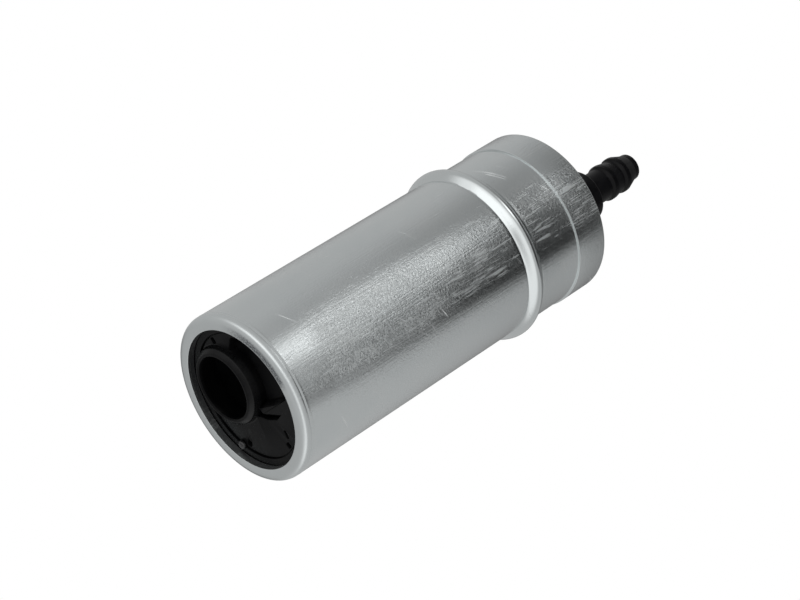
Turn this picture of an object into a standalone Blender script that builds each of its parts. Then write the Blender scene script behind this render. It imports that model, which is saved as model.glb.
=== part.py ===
"""In-tank electric fuel pump: a crimped steel can that holds a side-channel pump stage,
a permanent-magnet motor, and a moulded outlet cover with a check valve and a hose barb.

The pump stands on its inlet rim. The origin is the centre of that rim, and +Z runs from
the inlet to the outlet. Lengths are in metres.
"""

import math

import bmesh
import bpy
from mathutils import Matrix, Vector

# Clearance between pieces that touch or fit in each other
FIT = 0.0003

# Can
CAN_RADIUS = 0.0215
CAN_LENGTH = 0.1041
CAN_WALL = 0.0016
INLET_LIP = 0.0020
INLET_LIP_WIDTH = 0.0036
INLET_CORNER = 0.0015
OUTLET_LIP = 0.0018
OUTLET_LIP_WIDTH = 0.0035
OUTLET_CORNER = 0.0006
LIP_EDGE = 0.0003
COLLAR_RISE = 0.0004
COLLAR_LENGTH = 0.0097
BEAD_FROM_OUTLET = 0.0258
BEAD_HALF_WIDTH = 0.0021
BEAD_HEIGHT = 0.0018

# Inlet cover with its off-centre suction tube
INLET_COVER_DEPTH = 0.0097
INLET_RING_WIDTH = 0.0036
INLET_FLOOR_RECESS = 0.0007
INLET_FLOOR_THICKNESS = 0.0026
PLENUM_WALL = 0.0034
RING_GROOVE_WIDTH = 0.0004
RING_GROOVE_DEPTH = 0.0011
TUBE_BORE = 0.0081
TUBE_WALL = 0.0021
TUBE_CHAMFER = 0.0010
TUBE_RIM_SETBACK = 0.0003
TUBE_LIP_MARGIN = 0.0011
TUBE_AZIMUTH = math.radians(-45.6)
NOTCH_SIZE = 0.0016
LUG_SIZE = 0.0018
LUG_SETOUT = 0.0002

# Recess in the inlet floor and the wedge across its end: shares of the floor's radius and azimuths
RECESS_DEPTH_SHARE = 0.6
RIB_SETBACK_SHARE = 0.15
RECESS_SIDE = ((0.67, 135.8), (0.59, 152.9), (0.45, 174.3))
RECESS_RIM_SHARE = 0.923
RECESS_RIM_SWEEP = (54, 116)
RECESS_FOOT = (87, 171)
RIB_PLAN = ((0.514, 125.9), (0.869, 111.6), (0.856, 119.6), (0.593, 141.1), (0.365, 178.0), (0.221, 190.0))

# Round seals between the covers and the can
SEAL_SECTION = 0.0008
INLET_SEAL_HEIGHT = 0.0057

# Pump stage
SUCTION_PLATE_THICKNESS = 0.0040
RING_THICKNESS = 0.0034
RING_WALL = 0.0032
PRESSURE_PLATE_THICKNESS = 0.0060
PLATE_HUB_RADIUS = 0.0062
PLATE_HUB_HEIGHT = 0.0037
VANE_LENGTH = 0.0034
VANE_WEB = 0.0008
VANE_THICKNESS = 0.00064
VANE_POCKET_WIDTH = 0.0022
CHANNEL_DEPTH = 0.0014
CHANNEL_SWEEP = math.radians(306)
BALANCE_HOLE_RADIUS = 0.0011
BALANCE_HOLE_COUNT = 6

# Shaft and its bearings
SHAFT_RADIUS = 0.0025
SHAFT_FLAT_DEPTH = 0.0006
SHAFT_COLLAR_RADIUS = 0.0038
SHAFT_COLLAR_LENGTH = 0.0014
BUSH_WALL = 0.0012
BUSH_LENGTH = 0.0072
BEARING_WALL = 0.0016
THRUST_DISC_RADIUS = 0.0033
THRUST_DISC_THICKNESS = 0.0010
WASHER_WALL = 0.0018
WASHER_THICKNESS = 0.0008

# Motor
SPACER_LENGTH = 0.0091
SPACER_WALL = 0.0020
SPACER_WINDOWS = 6
MAGNET_THICKNESS = 0.0050
MAGNET_SWEEP = math.radians(138)
CLIP_SHEET = 0.0006
AIR_GAP = 0.0005
STACK_SETBACK = 0.0030
POLE_COUNT = 8
SLOT_OPENING = 0.0018
POLE_TIP = 0.0013
END_TURN_ROUND = 0.0025
END_TURN_HEIGHT = 0.0055
COMMUTATOR_RADIUS = 0.0110
COMMUTATOR_THICKNESS = 0.0036
COMMUTATOR_HUB_THICKNESS = 0.0027
BAR_SLOT_WIDTH = 0.0006
RISER_LENGTH = 0.0009

# Slots and teeth of the laminations, as shares of the rotor's radius
SLOT_FLOOR_SHARE = 0.48
TOOTH_TIP_SHARE = 0.32
TOOTH_ROOT_SHARE = 0.24

# Brushes and their springs
BRUSH_DEPTH = 0.0044
BRUSH_WIDTH = 0.0038
BRUSH_LENGTH = 0.0080
BRUSH_SETOUT = 0.0014
GUIDE_WALL = 0.0011
SPRING_WIRE = 0.0003

# Outlet cover, valve boss and hose barb
SKIRT_LENGTH = 0.0274
SKIRT_WALL = 0.0016
SEAL_LAND_HEIGHT = 0.0040
SEAL_LAND_WIDTH = 0.0044
DECK_RISE = 0.0009
DECK_THICKNESS = 0.0035
BOSS_RADIUS = 0.0068
BOSS_HEIGHT = 0.0071
BOSS_MARGIN = 0.0016
BOSS_FILLET = 0.0012
VALVE_AZIMUTH = math.radians(104.4)
BARB_NECK_RADIUS = 0.00435
BARB_VALLEY_RADIUS = 0.00425
BARB_CREST_RADIUS = 0.0047
BARB_TIP_RADIUS = 0.0035
BARB_NECK_LENGTH = 0.0076
BARB_PITCH = 0.0049
BARB_TIP_LENGTH = 0.0058
BARB_BORE = 0.0024

# Check valve in the boss
VALVE_CHAMBER_RADIUS = 0.0046
VALVE_ROOF = 0.0025
VALVE_DEPTH = 0.0122
SEAT_THICKNESS = 0.0020
SEAT_BORE = 0.0025
POPPET_RADIUS = 0.0035
POPPET_THICKNESS = 0.0016
POPPET_STEM_RADIUS = 0.0011
POPPET_STEM_LENGTH = 0.0040

# Relief valve in the deck
RELIEF_BOSS_RADIUS = 0.0036
RELIEF_BOSS_HEIGHT = 0.0024
RELIEF_BORE = 0.0023
RELIEF_ORIFICE = 0.0012
RELIEF_DEPTH = 0.0080
RELIEF_SEAT_THICKNESS = 0.0026
RELIEF_BALL_RADIUS = 0.0018
RELIEF_PLUG_LENGTH = 0.0018
RELIEF_AZIMUTH = VALVE_AZIMUTH - math.radians(60)

# Terminals and suppression chokes
TERMINAL_SPREAD = math.radians(33)
TERMINAL_THICKNESS = 0.0008
TERMINAL_WIDTHS = {"terminal_positive": 0.0063, "terminal_negative": 0.0048}
TERMINAL_HEIGHT = 0.0085
TERMINAL_FOOT = 0.0011
CHOKE_RADIUS = 0.0022
CHOKE_LENGTH = 0.0080

# Facets round the can, the pieces that fit its bore, the rotor, and small turned pieces
CAN_STEPS = 40
BORE_STEPS = 28
ROTOR_STEPS = 20
SMALL_STEPS = 16

# Turned tools start at this angle, so that their corners lie between the facet lines of the parts
TOOL_TURN = math.radians(4.1)

# Radii that follow from the can
INLET_OPENING = CAN_RADIUS - INLET_LIP_WIDTH
OUTLET_OPENING = CAN_RADIUS - OUTLET_LIP_WIDTH
BORE_RADIUS = CAN_RADIUS - CAN_WALL
SEAT_RADIUS = BORE_RADIUS - FIT
RING_OPENING = SEAT_RADIUS - RING_WALL
IMPELLER_RADIUS = RING_OPENING - FIT
CHANNEL_RADIUS = IMPELLER_RADIUS - VANE_LENGTH / 2
VANE_ROOT_RADIUS = IMPELLER_RADIUS - VANE_LENGTH
VANE_COUNT = int(math.tau * VANE_ROOT_RADIUS / (VANE_POCKET_WIDTH + VANE_THICKNESS))
MAGNET_BORE = SEAT_RADIUS - MAGNET_THICKNESS
ARMATURE_RADIUS = MAGNET_BORE - AIR_GAP
DECK_RADIUS = OUTLET_OPENING - FIT
BUSH_BORE = SHAFT_RADIUS + FIT
BUSH_RADIUS = BUSH_BORE + BUSH_WALL
BEARING_RADIUS = BUSH_RADIUS + FIT + BEARING_WALL
LAND_BORE = SEAT_RADIUS - SEAL_LAND_WIDTH
TERMINAL_RADIUS = (BEARING_RADIUS + LAND_BORE) / 2
WASHER_RADIUS = BUSH_BORE + WASHER_WALL

# Heights that follow from the stack of pieces, from the inlet rim up
COVER_BASE = INLET_LIP + FIT
FLOOR_BASE = COVER_BASE + INLET_FLOOR_RECESS
FLOOR_TOP = FLOOR_BASE + INLET_FLOOR_THICKNESS
COVER_TOP = COVER_BASE + INLET_COVER_DEPTH
SUCTION_BASE = COVER_TOP + FIT
SUCTION_TOP = SUCTION_BASE + SUCTION_PLATE_THICKNESS
RING_BASE = SUCTION_TOP + FIT
RING_TOP = RING_BASE + RING_THICKNESS
PRESSURE_BASE = RING_TOP + FIT
PRESSURE_TOP = PRESSURE_BASE + PRESSURE_PLATE_THICKNESS
HUB_TOP = PRESSURE_TOP + PLATE_HUB_HEIGHT
SPACER_BASE = PRESSURE_TOP + FIT
SPACER_TOP = SPACER_BASE + SPACER_LENGTH
THRUST_TOP = SUCTION_TOP - 2 * FIT
THRUST_BASE = THRUST_TOP - THRUST_DISC_THICKNESS
SHAFT_BASE = THRUST_TOP + FIT
LOWER_WASHER_BASE = HUB_TOP + FIT
SHAFT_COLLAR_BASE = LOWER_WASHER_BASE + WASHER_THICKNESS + FIT

# Heights that hang from the outlet rim down
SHOULDER_TOP = CAN_LENGTH - OUTLET_LIP - FIT
SKIRT_BASE = SHOULDER_TOP - SKIRT_LENGTH
DECK_TOP = CAN_LENGTH + DECK_RISE
DECK_BASE = DECK_TOP - DECK_THICKNESS
BOSS_TOP = DECK_TOP + BOSS_HEIGHT
MAGNET_BASE = SPACER_TOP + FIT
MAGNET_TOP = SKIRT_BASE - FIT

# Heights of the rotor
STACK_BASE = MAGNET_BASE + STACK_SETBACK
STACK_TOP = MAGNET_TOP - STACK_SETBACK
LOWER_TURN_BASE = STACK_BASE - FIT - END_TURN_HEIGHT
UPPER_TURN_TOP = STACK_TOP + FIT + END_TURN_HEIGHT
COMMUTATOR_HUB_BASE = UPPER_TURN_TOP + FIT
COMMUTATOR_BASE = COMMUTATOR_HUB_BASE + COMMUTATOR_HUB_THICKNESS + FIT
COMMUTATOR_TOP = COMMUTATOR_BASE + COMMUTATOR_THICKNESS
UPPER_WASHER_BASE = COMMUTATOR_TOP + FIT
BEARING_BASE = UPPER_WASHER_BASE + WASHER_THICKNESS + FIT
UPPER_BUSH_BASE = BEARING_BASE + 2 * FIT
SHAFT_TOP = UPPER_BUSH_BASE + BUSH_LENGTH + FIT
GUIDE_BASE = BEARING_BASE + FIT
BRUSH_BASE = COMMUTATOR_TOP + FIT
BRUSH_TOP = BRUSH_BASE + BRUSH_LENGTH
BRUSH_RADIUS = WASHER_RADIUS + BRUSH_SETOUT + BRUSH_DEPTH / 2

# Valve chamber and relief bore heights
CHAMBER_TOP = BOSS_TOP - VALVE_ROOF
CHAMBER_BASE = CHAMBER_TOP - VALVE_DEPTH
SEAT_TOP = CHAMBER_BASE + FIT + SEAT_THICKNESS
POPPET_BASE = SEAT_TOP + FIT
RELIEF_TOP = DECK_TOP + RELIEF_BOSS_HEIGHT
RELIEF_SEAT = DECK_BASE - RELIEF_DEPTH + RELIEF_SEAT_THICKNESS
RELIEF_PLUG_BASE = RELIEF_TOP - FIT - RELIEF_PLUG_LENGTH

# Colours, roughness and metallic values
ZINC = ((0.62, 0.63, 0.64), 0.36, 1.0)
BLACK_PLASTIC = ((0.018, 0.018, 0.020), 0.42, 0.0)
GREY_ALUMINIUM = ((0.55, 0.56, 0.58), 0.38, 1.0)
BLACK_RUBBER = ((0.02, 0.02, 0.02), 0.75, 0.0)
BROWN_PHENOLIC = ((0.11, 0.06, 0.035), 0.45, 0.0)
BRONZE = ((0.48, 0.31, 0.15), 0.42, 1.0)
STEEL = ((0.46, 0.47, 0.49), 0.28, 1.0)
IRON_SHEET = ((0.30, 0.30, 0.31), 0.45, 1.0)
COPPER = ((0.72, 0.30, 0.14), 0.30, 1.0)
FERRITE = ((0.06, 0.06, 0.065), 0.70, 0.0)
CARBON = ((0.03, 0.03, 0.03), 0.65, 0.0)
TINNED_BRASS = ((0.66, 0.64, 0.58), 0.32, 1.0)
BRASS = ((0.62, 0.47, 0.20), 0.30, 1.0)
WHITE_PLASTIC = ((0.72, 0.70, 0.64), 0.50, 0.0)


def clear_scene():
    for item in list(bpy.data.objects):
        bpy.data.objects.remove(item, do_unlink=True)


def new_collection(name):
    collection = bpy.data.collections.new(name)
    bpy.context.scene.collection.children.link(collection)
    return collection


clear_scene()
PARTS = new_collection("fuel_pump")
CUTTERS = new_collection("cutters")


def give_material(item, finish):
    colour, roughness, metallic = finish
    material = bpy.data.materials.new(item.name + "_finish")
    material.use_nodes = True
    shader = material.node_tree.nodes["Principled BSDF"]
    shader.inputs["Base Color"].default_value = (*colour, 1.0)
    shader.inputs["Roughness"].default_value = roughness
    shader.inputs["Metallic"].default_value = metallic
    material.diffuse_color = (*colour, 1.0)
    item.data.materials.append(material)


def place(item, finish):
    """Link an object as a part with a finish, or as a hidden tool without one."""
    if finish is None:
        CUTTERS.objects.link(item)
        item.hide_render = True
        item.display_type = "WIRE"
    else:
        PARTS.objects.link(item)
        give_material(item, finish)
    return item


def polar(radius, azimuth, height=0.0):
    return Vector((radius * math.cos(azimuth), radius * math.sin(azimuth), height))


def arc(centre, radius, start, end, count):
    """Points of a circular arc in the (radius, height) plane, angles in degrees."""
    points = []
    for i in range(count + 1):
        angle = math.radians(start + (end - start) * i / count)
        points.append((centre[0] + radius * math.cos(angle), centre[1] + radius * math.sin(angle)))
    return points


def turned(name, profile, steps, finish=None, centre=(0.0, 0.0)):
    """Turn a profile of (radius, height) points that runs down its outer side.

    A profile that starts and ends on the axis is solid, any other closes into a ring.
    """
    mesh = bpy.data.meshes.new(name)
    points = [(radius, 0.0, height) for radius, height in profile]
    edges = [(i, i + 1) for i in range(len(points) - 1)]
    if profile[0][0] > 0.0:
        edges.append((len(points) - 1, 0))
    mesh.from_pydata(points, edges, [])
    item = bpy.data.objects.new(name, mesh)
    item.location = (centre[0], centre[1], 0.0)
    item.rotation_euler = (0.0, 0.0, TOOL_TURN if finish is None else 0.0)
    screw = item.modifiers.new("turn", "SCREW")
    screw.axis = "Z"
    screw.steps = steps
    screw.render_steps = steps
    screw.use_merge_vertices = True
    screw.merge_threshold = 0.00001
    return place(item, finish)


def rod(name, radius, base, top, steps, finish=None, centre=(0.0, 0.0)):
    return turned(name, [(0.0, top), (radius, top), (radius, base), (0.0, base)], steps, finish, centre)


def turn_half_facet(tool, steps):
    """Turn a tool so that its corners lie between the facet lines of another tool of its steps."""
    tool.rotation_euler.z += math.pi / steps


def sleeve(name, bore, radius, base, top, steps, finish=None, centre=(0.0, 0.0)):
    profile = [(bore, top), (radius, top), (radius, base), (bore, base)]
    return turned(name, profile, steps, finish, centre)


def from_bmesh(name, shape, finish=None, centre=(0.0, 0.0, 0.0), turn=0.0):
    mesh = bpy.data.meshes.new(name)
    shape.to_mesh(mesh)
    shape.free()
    item = bpy.data.objects.new(name, mesh)
    item.location = centre
    item.rotation_euler = (0.0, 0.0, turn)
    return place(item, finish)


def add_block(shape, low, high, turn=0.0):
    """Add a box between two corners, then turn it about the axis of the pump."""
    low = Vector(low)
    high = Vector(high)
    size = Matrix.Diagonal((*(high - low), 1.0))
    where = Matrix.Rotation(turn, 4, "Z") @ Matrix.Translation((low + high) / 2)
    bmesh.ops.create_cube(shape, size=1.0, matrix=where @ size)


def block(name, size, base, centre, turn=0.0, finish=None):
    """Upright box of a (length, width, height) on a base height, about a point of the plan."""
    shape = bmesh.new()
    half = Vector((size[0] / 2, size[1] / 2, 0.0))
    add_block(shape, -half, half + Vector((0.0, 0.0, size[2])))
    return from_bmesh(name, shape, finish, (centre[0], centre[1], base), turn)


def add_prism(shape, outline, base, top, turn=0.0):
    """Add a flat outline raised from one height to another, turned about the axis."""
    spin = Matrix.Rotation(turn, 4, "Z")
    corners = [shape.verts.new(spin @ Vector((x, y, base))) for x, y in outline]
    face = shape.faces.new(corners)
    raised = bmesh.ops.extrude_face_region(shape, geom=[face])
    moved = [v for v in raised["geom"] if isinstance(v, bmesh.types.BMVert)]
    bmesh.ops.translate(shape, verts=moved, vec=(0.0, 0.0, top - base))


def sector(name, bore, radius, base, top, middle, sweep, steps, finish=None):
    """Part of a ring, swept about the axis from a rectangular section."""
    shape = bmesh.new()
    spin = Matrix.Rotation(middle - sweep / 2, 4, "Z")
    corners = [(bore, base), (radius, base), (radius, top), (bore, top)]
    section = [shape.verts.new(spin @ Vector((r, 0.0, z))) for r, z in corners]
    face = shape.faces.new(section)
    geometry = [face] + list(face.edges) + section
    bmesh.ops.spin(shape, geom=geometry, cent=(0, 0, 0), axis=(0, 0, 1), angle=sweep, steps=steps)
    bmesh.ops.recalc_face_normals(shape, faces=shape.faces[:])
    return from_bmesh(name, shape, finish)


def combine(target, tool, operation):
    boolean = target.modifiers.new(tool.name, "BOOLEAN")
    boolean.object = tool
    boolean.operation = operation
    boolean.solver = "EXACT"


def cut(target, *tools):
    for tool in tools:
        combine(target, tool, "DIFFERENCE")


def join(target, *tools):
    for tool in tools:
        combine(target, tool, "UNION")


def seal(name, radius, height, finish):
    """Round seal of a mean radius, centred on a height."""
    shape_steps = {"major_segments": BORE_STEPS, "minor_segments": 6}
    bpy.ops.mesh.primitive_torus_add(major_radius=radius, minor_radius=SEAL_SECTION, **shape_steps)
    item = bpy.context.object
    item.name = name
    item.location = (0.0, 0.0, height)
    for collection in item.users_collection:
        collection.objects.unlink(item)
    return place(item, finish)


def coil_spring(name, radius, base, top, turns, centre, finish):
    """Compression spring of round wire whose ends lie on two heights."""
    points_per_turn = 8
    count = turns * points_per_turn
    low = base + SPRING_WIRE
    rise = top - base - 2 * SPRING_WIRE
    curve = bpy.data.curves.new(name, "CURVE")
    curve.dimensions = "3D"
    curve.bevel_depth = SPRING_WIRE
    curve.bevel_resolution = 1
    curve.use_fill_caps = True
    line = curve.splines.new("POLY")
    line.points.add(count)
    for i in range(count + 1):
        share = i / count
        point = polar(radius, math.tau * turns * share, low + rise * share)
        line.points[i].co = (*point, 1.0)
    item = bpy.data.objects.new(name, curve)
    item.location = (centre[0], centre[1], 0.0)
    return place(item, finish)


def bulge(radius, height, half_width, rise, downwards, count):
    """Half-ellipse that stands out of a wall, for a rolled bead."""
    points = []
    for i in range(count + 1):
        angle = math.radians(90 - 180 * i / count)
        if not downwards:
            angle = -angle
        points.append((radius + rise * math.cos(angle), height + half_width * math.sin(angle)))
    return points


def make_can():
    """Drawn steel can with both ends rolled in, a rolled bead and a stepped collar."""
    collar = CAN_RADIUS + COLLAR_RISE
    step = CAN_LENGTH - COLLAR_LENGTH
    bead = CAN_LENGTH - BEAD_FROM_OUTLET
    corner = (collar - OUTLET_CORNER, CAN_LENGTH - OUTLET_CORNER)
    profile = arc(corner, OUTLET_CORNER, 90, 0, 2)
    profile += [(collar, step + COLLAR_RISE), (CAN_RADIUS, step)]
    profile += bulge(CAN_RADIUS, bead, BEAD_HALF_WIDTH, BEAD_HEIGHT, True, 6)
    profile += arc((CAN_RADIUS - INLET_CORNER, INLET_CORNER), INLET_CORNER, 0, -90, 3)
    profile += [(INLET_OPENING + LIP_EDGE, 0.0), (INLET_OPENING, LIP_EDGE)]
    profile += [(INLET_OPENING, INLET_LIP - LIP_EDGE), (INLET_OPENING + LIP_EDGE, INLET_LIP)]
    profile += [(BORE_RADIUS, INLET_LIP)]
    profile += bulge(BORE_RADIUS, bead, BEAD_HALF_WIDTH - CAN_WALL / 3, BEAD_HEIGHT, False, 3)
    profile += [(BORE_RADIUS, CAN_LENGTH - OUTLET_LIP), (OUTLET_OPENING, CAN_LENGTH - OUTLET_LIP)]
    profile += [(OUTLET_OPENING, CAN_LENGTH)]
    turned("pump_can", profile, CAN_STEPS, ZINC)


def seal_groove(middle):
    """Groove for a round seal in the outer side of a cover, top to bottom."""
    half = SEAL_SECTION + FIT
    floor = BORE_RADIUS - 2 * SEAL_SECTION - 2 * FIT
    return [(SEAT_RADIUS, middle + half), (floor, middle + half),
            (floor, middle - half), (SEAT_RADIUS, middle - half)]


def seal_radius():
    return BORE_RADIUS - FIT - SEAL_SECTION


def inlet_recess(floor_radius, tube_centre, tube_middle):
    """Recess beside the suction tube, from wall to wall of the tube, and the wedge that stands in it."""
    foot_low, foot_high = [tube_centre + polar(tube_middle, math.radians(a)) for a in RECESS_FOOT]
    plan = [foot_low]
    start, end = RECESS_RIM_SWEEP
    for i in range(9):
        azimuth = math.radians(start + (end - start) * i / 8)
        plan.append(polar(RECESS_RIM_SHARE * floor_radius, azimuth))
    plan += [polar(share * floor_radius, math.radians(azimuth)) for share, azimuth in RECESS_SIDE]
    plan.append(foot_high)
    depth = RECESS_DEPTH_SHARE * INLET_FLOOR_THICKNESS
    recess = bmesh.new()
    add_prism(recess, [(v.x, v.y) for v in plan], FLOOR_BASE - FIT, FLOOR_BASE + depth)
    recess = from_bmesh("floor_recess", recess)
    wedge = bmesh.new()
    corners = [polar(share * floor_radius, math.radians(azimuth)) for share, azimuth in RIB_PLAN]
    low = FLOOR_BASE + RIB_SETBACK_SHARE * INLET_FLOOR_THICKNESS
    add_prism(wedge, [(v.x, v.y) for v in corners], low, FLOOR_BASE + depth + FIT)
    return recess, from_bmesh("recess_wedge", wedge)


def make_inlet_cover():
    """Moulded cover with a ring under the lip, a sunk floor and an off-centre suction tube."""
    ring = SEAT_RADIUS - INLET_RING_WIDTH
    groove = ring - RING_GROOVE_WIDTH
    groove_top = COVER_BASE + RING_GROOVE_DEPTH
    plenum = SEAT_RADIUS - PLENUM_WALL
    seal_height = COVER_BASE + INLET_SEAL_HEIGHT
    profile = [(0.0, FLOOR_TOP), (plenum, FLOOR_TOP), (plenum, COVER_TOP), (SEAT_RADIUS, COVER_TOP)]
    profile += seal_groove(seal_height)
    profile += [(SEAT_RADIUS, COVER_BASE), (ring, COVER_BASE), (ring, groove_top)]
    profile += [(groove, groove_top), (groove, FLOOR_BASE), (0.0, FLOOR_BASE)]
    cover = turned("inlet_cover", profile, BORE_STEPS, BLACK_PLASTIC)

    outer = TUBE_BORE + TUBE_WALL
    centre = polar(INLET_OPENING - TUBE_LIP_MARGIN - outer, TUBE_AZIMUTH)
    root = FLOOR_TOP - (1.0 - RECESS_DEPTH_SHARE) / 2 * INLET_FLOOR_THICKNESS
    rim = TUBE_RIM_SETBACK
    wall = [(0.0, root), (outer, root), (outer, rim + 1.2 * TUBE_CHAMFER),
            (outer - TUBE_CHAMFER, rim), (0.0, rim)]
    tube = turned("suction_tube_wall", wall, BORE_STEPS, None, centre)
    mouth = TUBE_BORE + LIP_EDGE
    bore = [(0.0, FLOOR_TOP + FIT), (TUBE_BORE, FLOOR_TOP + FIT), (TUBE_BORE, rim + LIP_EDGE),
            (mouth, rim), (mouth, rim - FIT), (0.0, rim - FIT)]
    bore = turned("suction_tube_bore", bore, BORE_STEPS, None, centre)

    details = bmesh.new()
    edge = groove - NOTCH_SIZE
    for azimuth in (4, 169, 228):
        low = (edge, -NOTCH_SIZE / 2, FLOOR_BASE - FIT)
        high = (groove - FIT, NOTCH_SIZE / 2, FLOOR_BASE + RING_GROOVE_DEPTH)
        add_block(details, low, high, math.radians(azimuth))
    dash = (edge, -LIP_EDGE, FLOOR_BASE - FIT)
    dash_end = (groove - 2 * FIT, LIP_EDGE, FLOOR_BASE + RING_GROOVE_DEPTH)
    add_block(details, dash, dash_end, math.radians(160))
    notches = from_bmesh("floor_notches", details)
    lug = block("ring_lug", (LUG_SIZE, LUG_SIZE, LUG_SIZE), COVER_BASE - LUG_SETOUT,
                polar(ring - LUG_SIZE / 3, math.radians(-126)), math.radians(-126))
    recess, wedge = inlet_recess(groove, centre, TUBE_BORE + TUBE_WALL / 2)
    cut(cover, recess)
    join(cover, wedge, tube, lug)
    cut(cover, bore, notches)
    seal("inlet_seal", seal_radius(), seal_height, BLACK_RUBBER)


def channel_cutter(name, base, top):
    bore = CHANNEL_RADIUS - VANE_LENGTH / 2
    radius = CHANNEL_RADIUS + VANE_LENGTH / 2
    return sector(name, bore, radius, base, top, 0.0, CHANNEL_SWEEP, ROTOR_STEPS)


def port_cutter(name, azimuth, base, top):
    """Round port of the channel's width."""
    centre = polar(CHANNEL_RADIUS, azimuth)
    return rod(name, VANE_LENGTH / 2 - FIT, base, top, SMALL_STEPS // 2, None, centre)


def make_suction_plate():
    """Lower pump plate: side channel with its inlet port, and the pocket of the thrust disc."""
    plate = rod("suction_plate", SEAT_RADIUS, SUCTION_BASE, SUCTION_TOP, BORE_STEPS, GREY_ALUMINIUM)
    pocket_base = THRUST_BASE - FIT
    pocket = rod("thrust_pocket", THRUST_DISC_RADIUS + FIT, pocket_base, RING_TOP, SMALL_STEPS)
    channel = channel_cutter("suction_channel", SUCTION_TOP - CHANNEL_DEPTH, RING_TOP)
    start = (VANE_LENGTH / CHANNEL_RADIUS - CHANNEL_SWEEP) / 2
    port = port_cutter("suction_port", start, SUCTION_BASE - FIT, RING_TOP)
    cut(plate, pocket, channel, port)
    rod("thrust_disc", THRUST_DISC_RADIUS, THRUST_BASE, THRUST_TOP, SMALL_STEPS, STEEL)


def make_pressure_plate():
    """Upper pump plate: side channel with its outlet port, and the hub of the lower bush."""
    profile = [(0.0, HUB_TOP), (PLATE_HUB_RADIUS, HUB_TOP), (PLATE_HUB_RADIUS, PRESSURE_TOP),
               (SEAT_RADIUS, PRESSURE_TOP), (SEAT_RADIUS, PRESSURE_BASE), (0.0, PRESSURE_BASE)]
    plate = turned("pressure_plate", profile, BORE_STEPS, GREY_ALUMINIUM)
    bore = rod("lower_bush_bore", BUSH_RADIUS + FIT, RING_BASE, HUB_TOP + FIT, SMALL_STEPS)
    channel = channel_cutter("pressure_channel", RING_BASE, PRESSURE_BASE + CHANNEL_DEPTH)
    end = (CHANNEL_SWEEP - VANE_LENGTH / CHANNEL_RADIUS) / 2
    port = port_cutter("pressure_port", end, RING_BASE, PRESSURE_TOP + FIT)
    cut(plate, bore, channel, port)
    middle = (PRESSURE_BASE + HUB_TOP) / 2
    base = middle - BUSH_LENGTH / 2
    sleeve("lower_bush", BUSH_BORE, BUSH_RADIUS, base, base + BUSH_LENGTH, SMALL_STEPS, BRONZE)


def shaft_flat(name, distance, base, top):
    """Block that leaves a flat at a distance from the axis."""
    shape = bmesh.new()
    reach = 2 * SHAFT_RADIUS
    add_block(shape, (distance, -reach, base), (distance + reach, reach, top))
    return from_bmesh(name, shape)


def make_impeller():
    """Side-channel impeller: pockets on both faces leave vanes on a thin middle web."""
    impeller = rod("impeller", IMPELLER_RADIUS, RING_BASE, RING_TOP, BORE_STEPS, BROWN_PHENOLIC)
    middle = (RING_BASE + RING_TOP) / 2
    reach = IMPELLER_RADIUS + FIT
    pockets = bmesh.new()
    for i in range(VANE_COUNT):
        turn = math.tau * (i + 0.5) / VANE_COUNT
        half = VANE_POCKET_WIDTH / 2
        top_low = (VANE_ROOT_RADIUS, -half, middle + VANE_WEB / 2)
        add_block(pockets, top_low, (reach, half, RING_TOP + FIT), turn)
        base_high = (reach, half, middle - VANE_WEB / 2)
        add_block(pockets, (VANE_ROOT_RADIUS, -half, RING_BASE - FIT), base_high, turn)
    pockets = from_bmesh("vane_pockets", pockets)
    bore = rod("impeller_bore", BUSH_BORE, RING_BASE - FIT, RING_TOP + FIT, SMALL_STEPS)
    flat_reach = SHAFT_RADIUS - SHAFT_FLAT_DEPTH + FIT
    flat = shaft_flat("impeller_drive_flat", flat_reach, RING_BASE - 2 * FIT, RING_TOP + 2 * FIT)
    cut(bore, flat)
    holes = bmesh.new()
    for i in range(BALANCE_HOLE_COUNT):
        where = polar((BUSH_BORE + VANE_ROOT_RADIUS) / 2, math.tau * i / BALANCE_HOLE_COUNT, middle)
        bmesh.ops.create_cone(holes, cap_ends=True, segments=SMALL_STEPS // 2,
                              radius1=BALANCE_HOLE_RADIUS, radius2=BALANCE_HOLE_RADIUS,
                              depth=RING_THICKNESS + 2 * FIT, matrix=Matrix.Translation(where))
    holes = from_bmesh("balance_holes", holes)
    cut(impeller, pockets, bore, holes)
    sleeve("pump_ring", RING_OPENING, SEAT_RADIUS, RING_BASE, RING_TOP, BORE_STEPS, GREY_ALUMINIUM)


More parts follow.
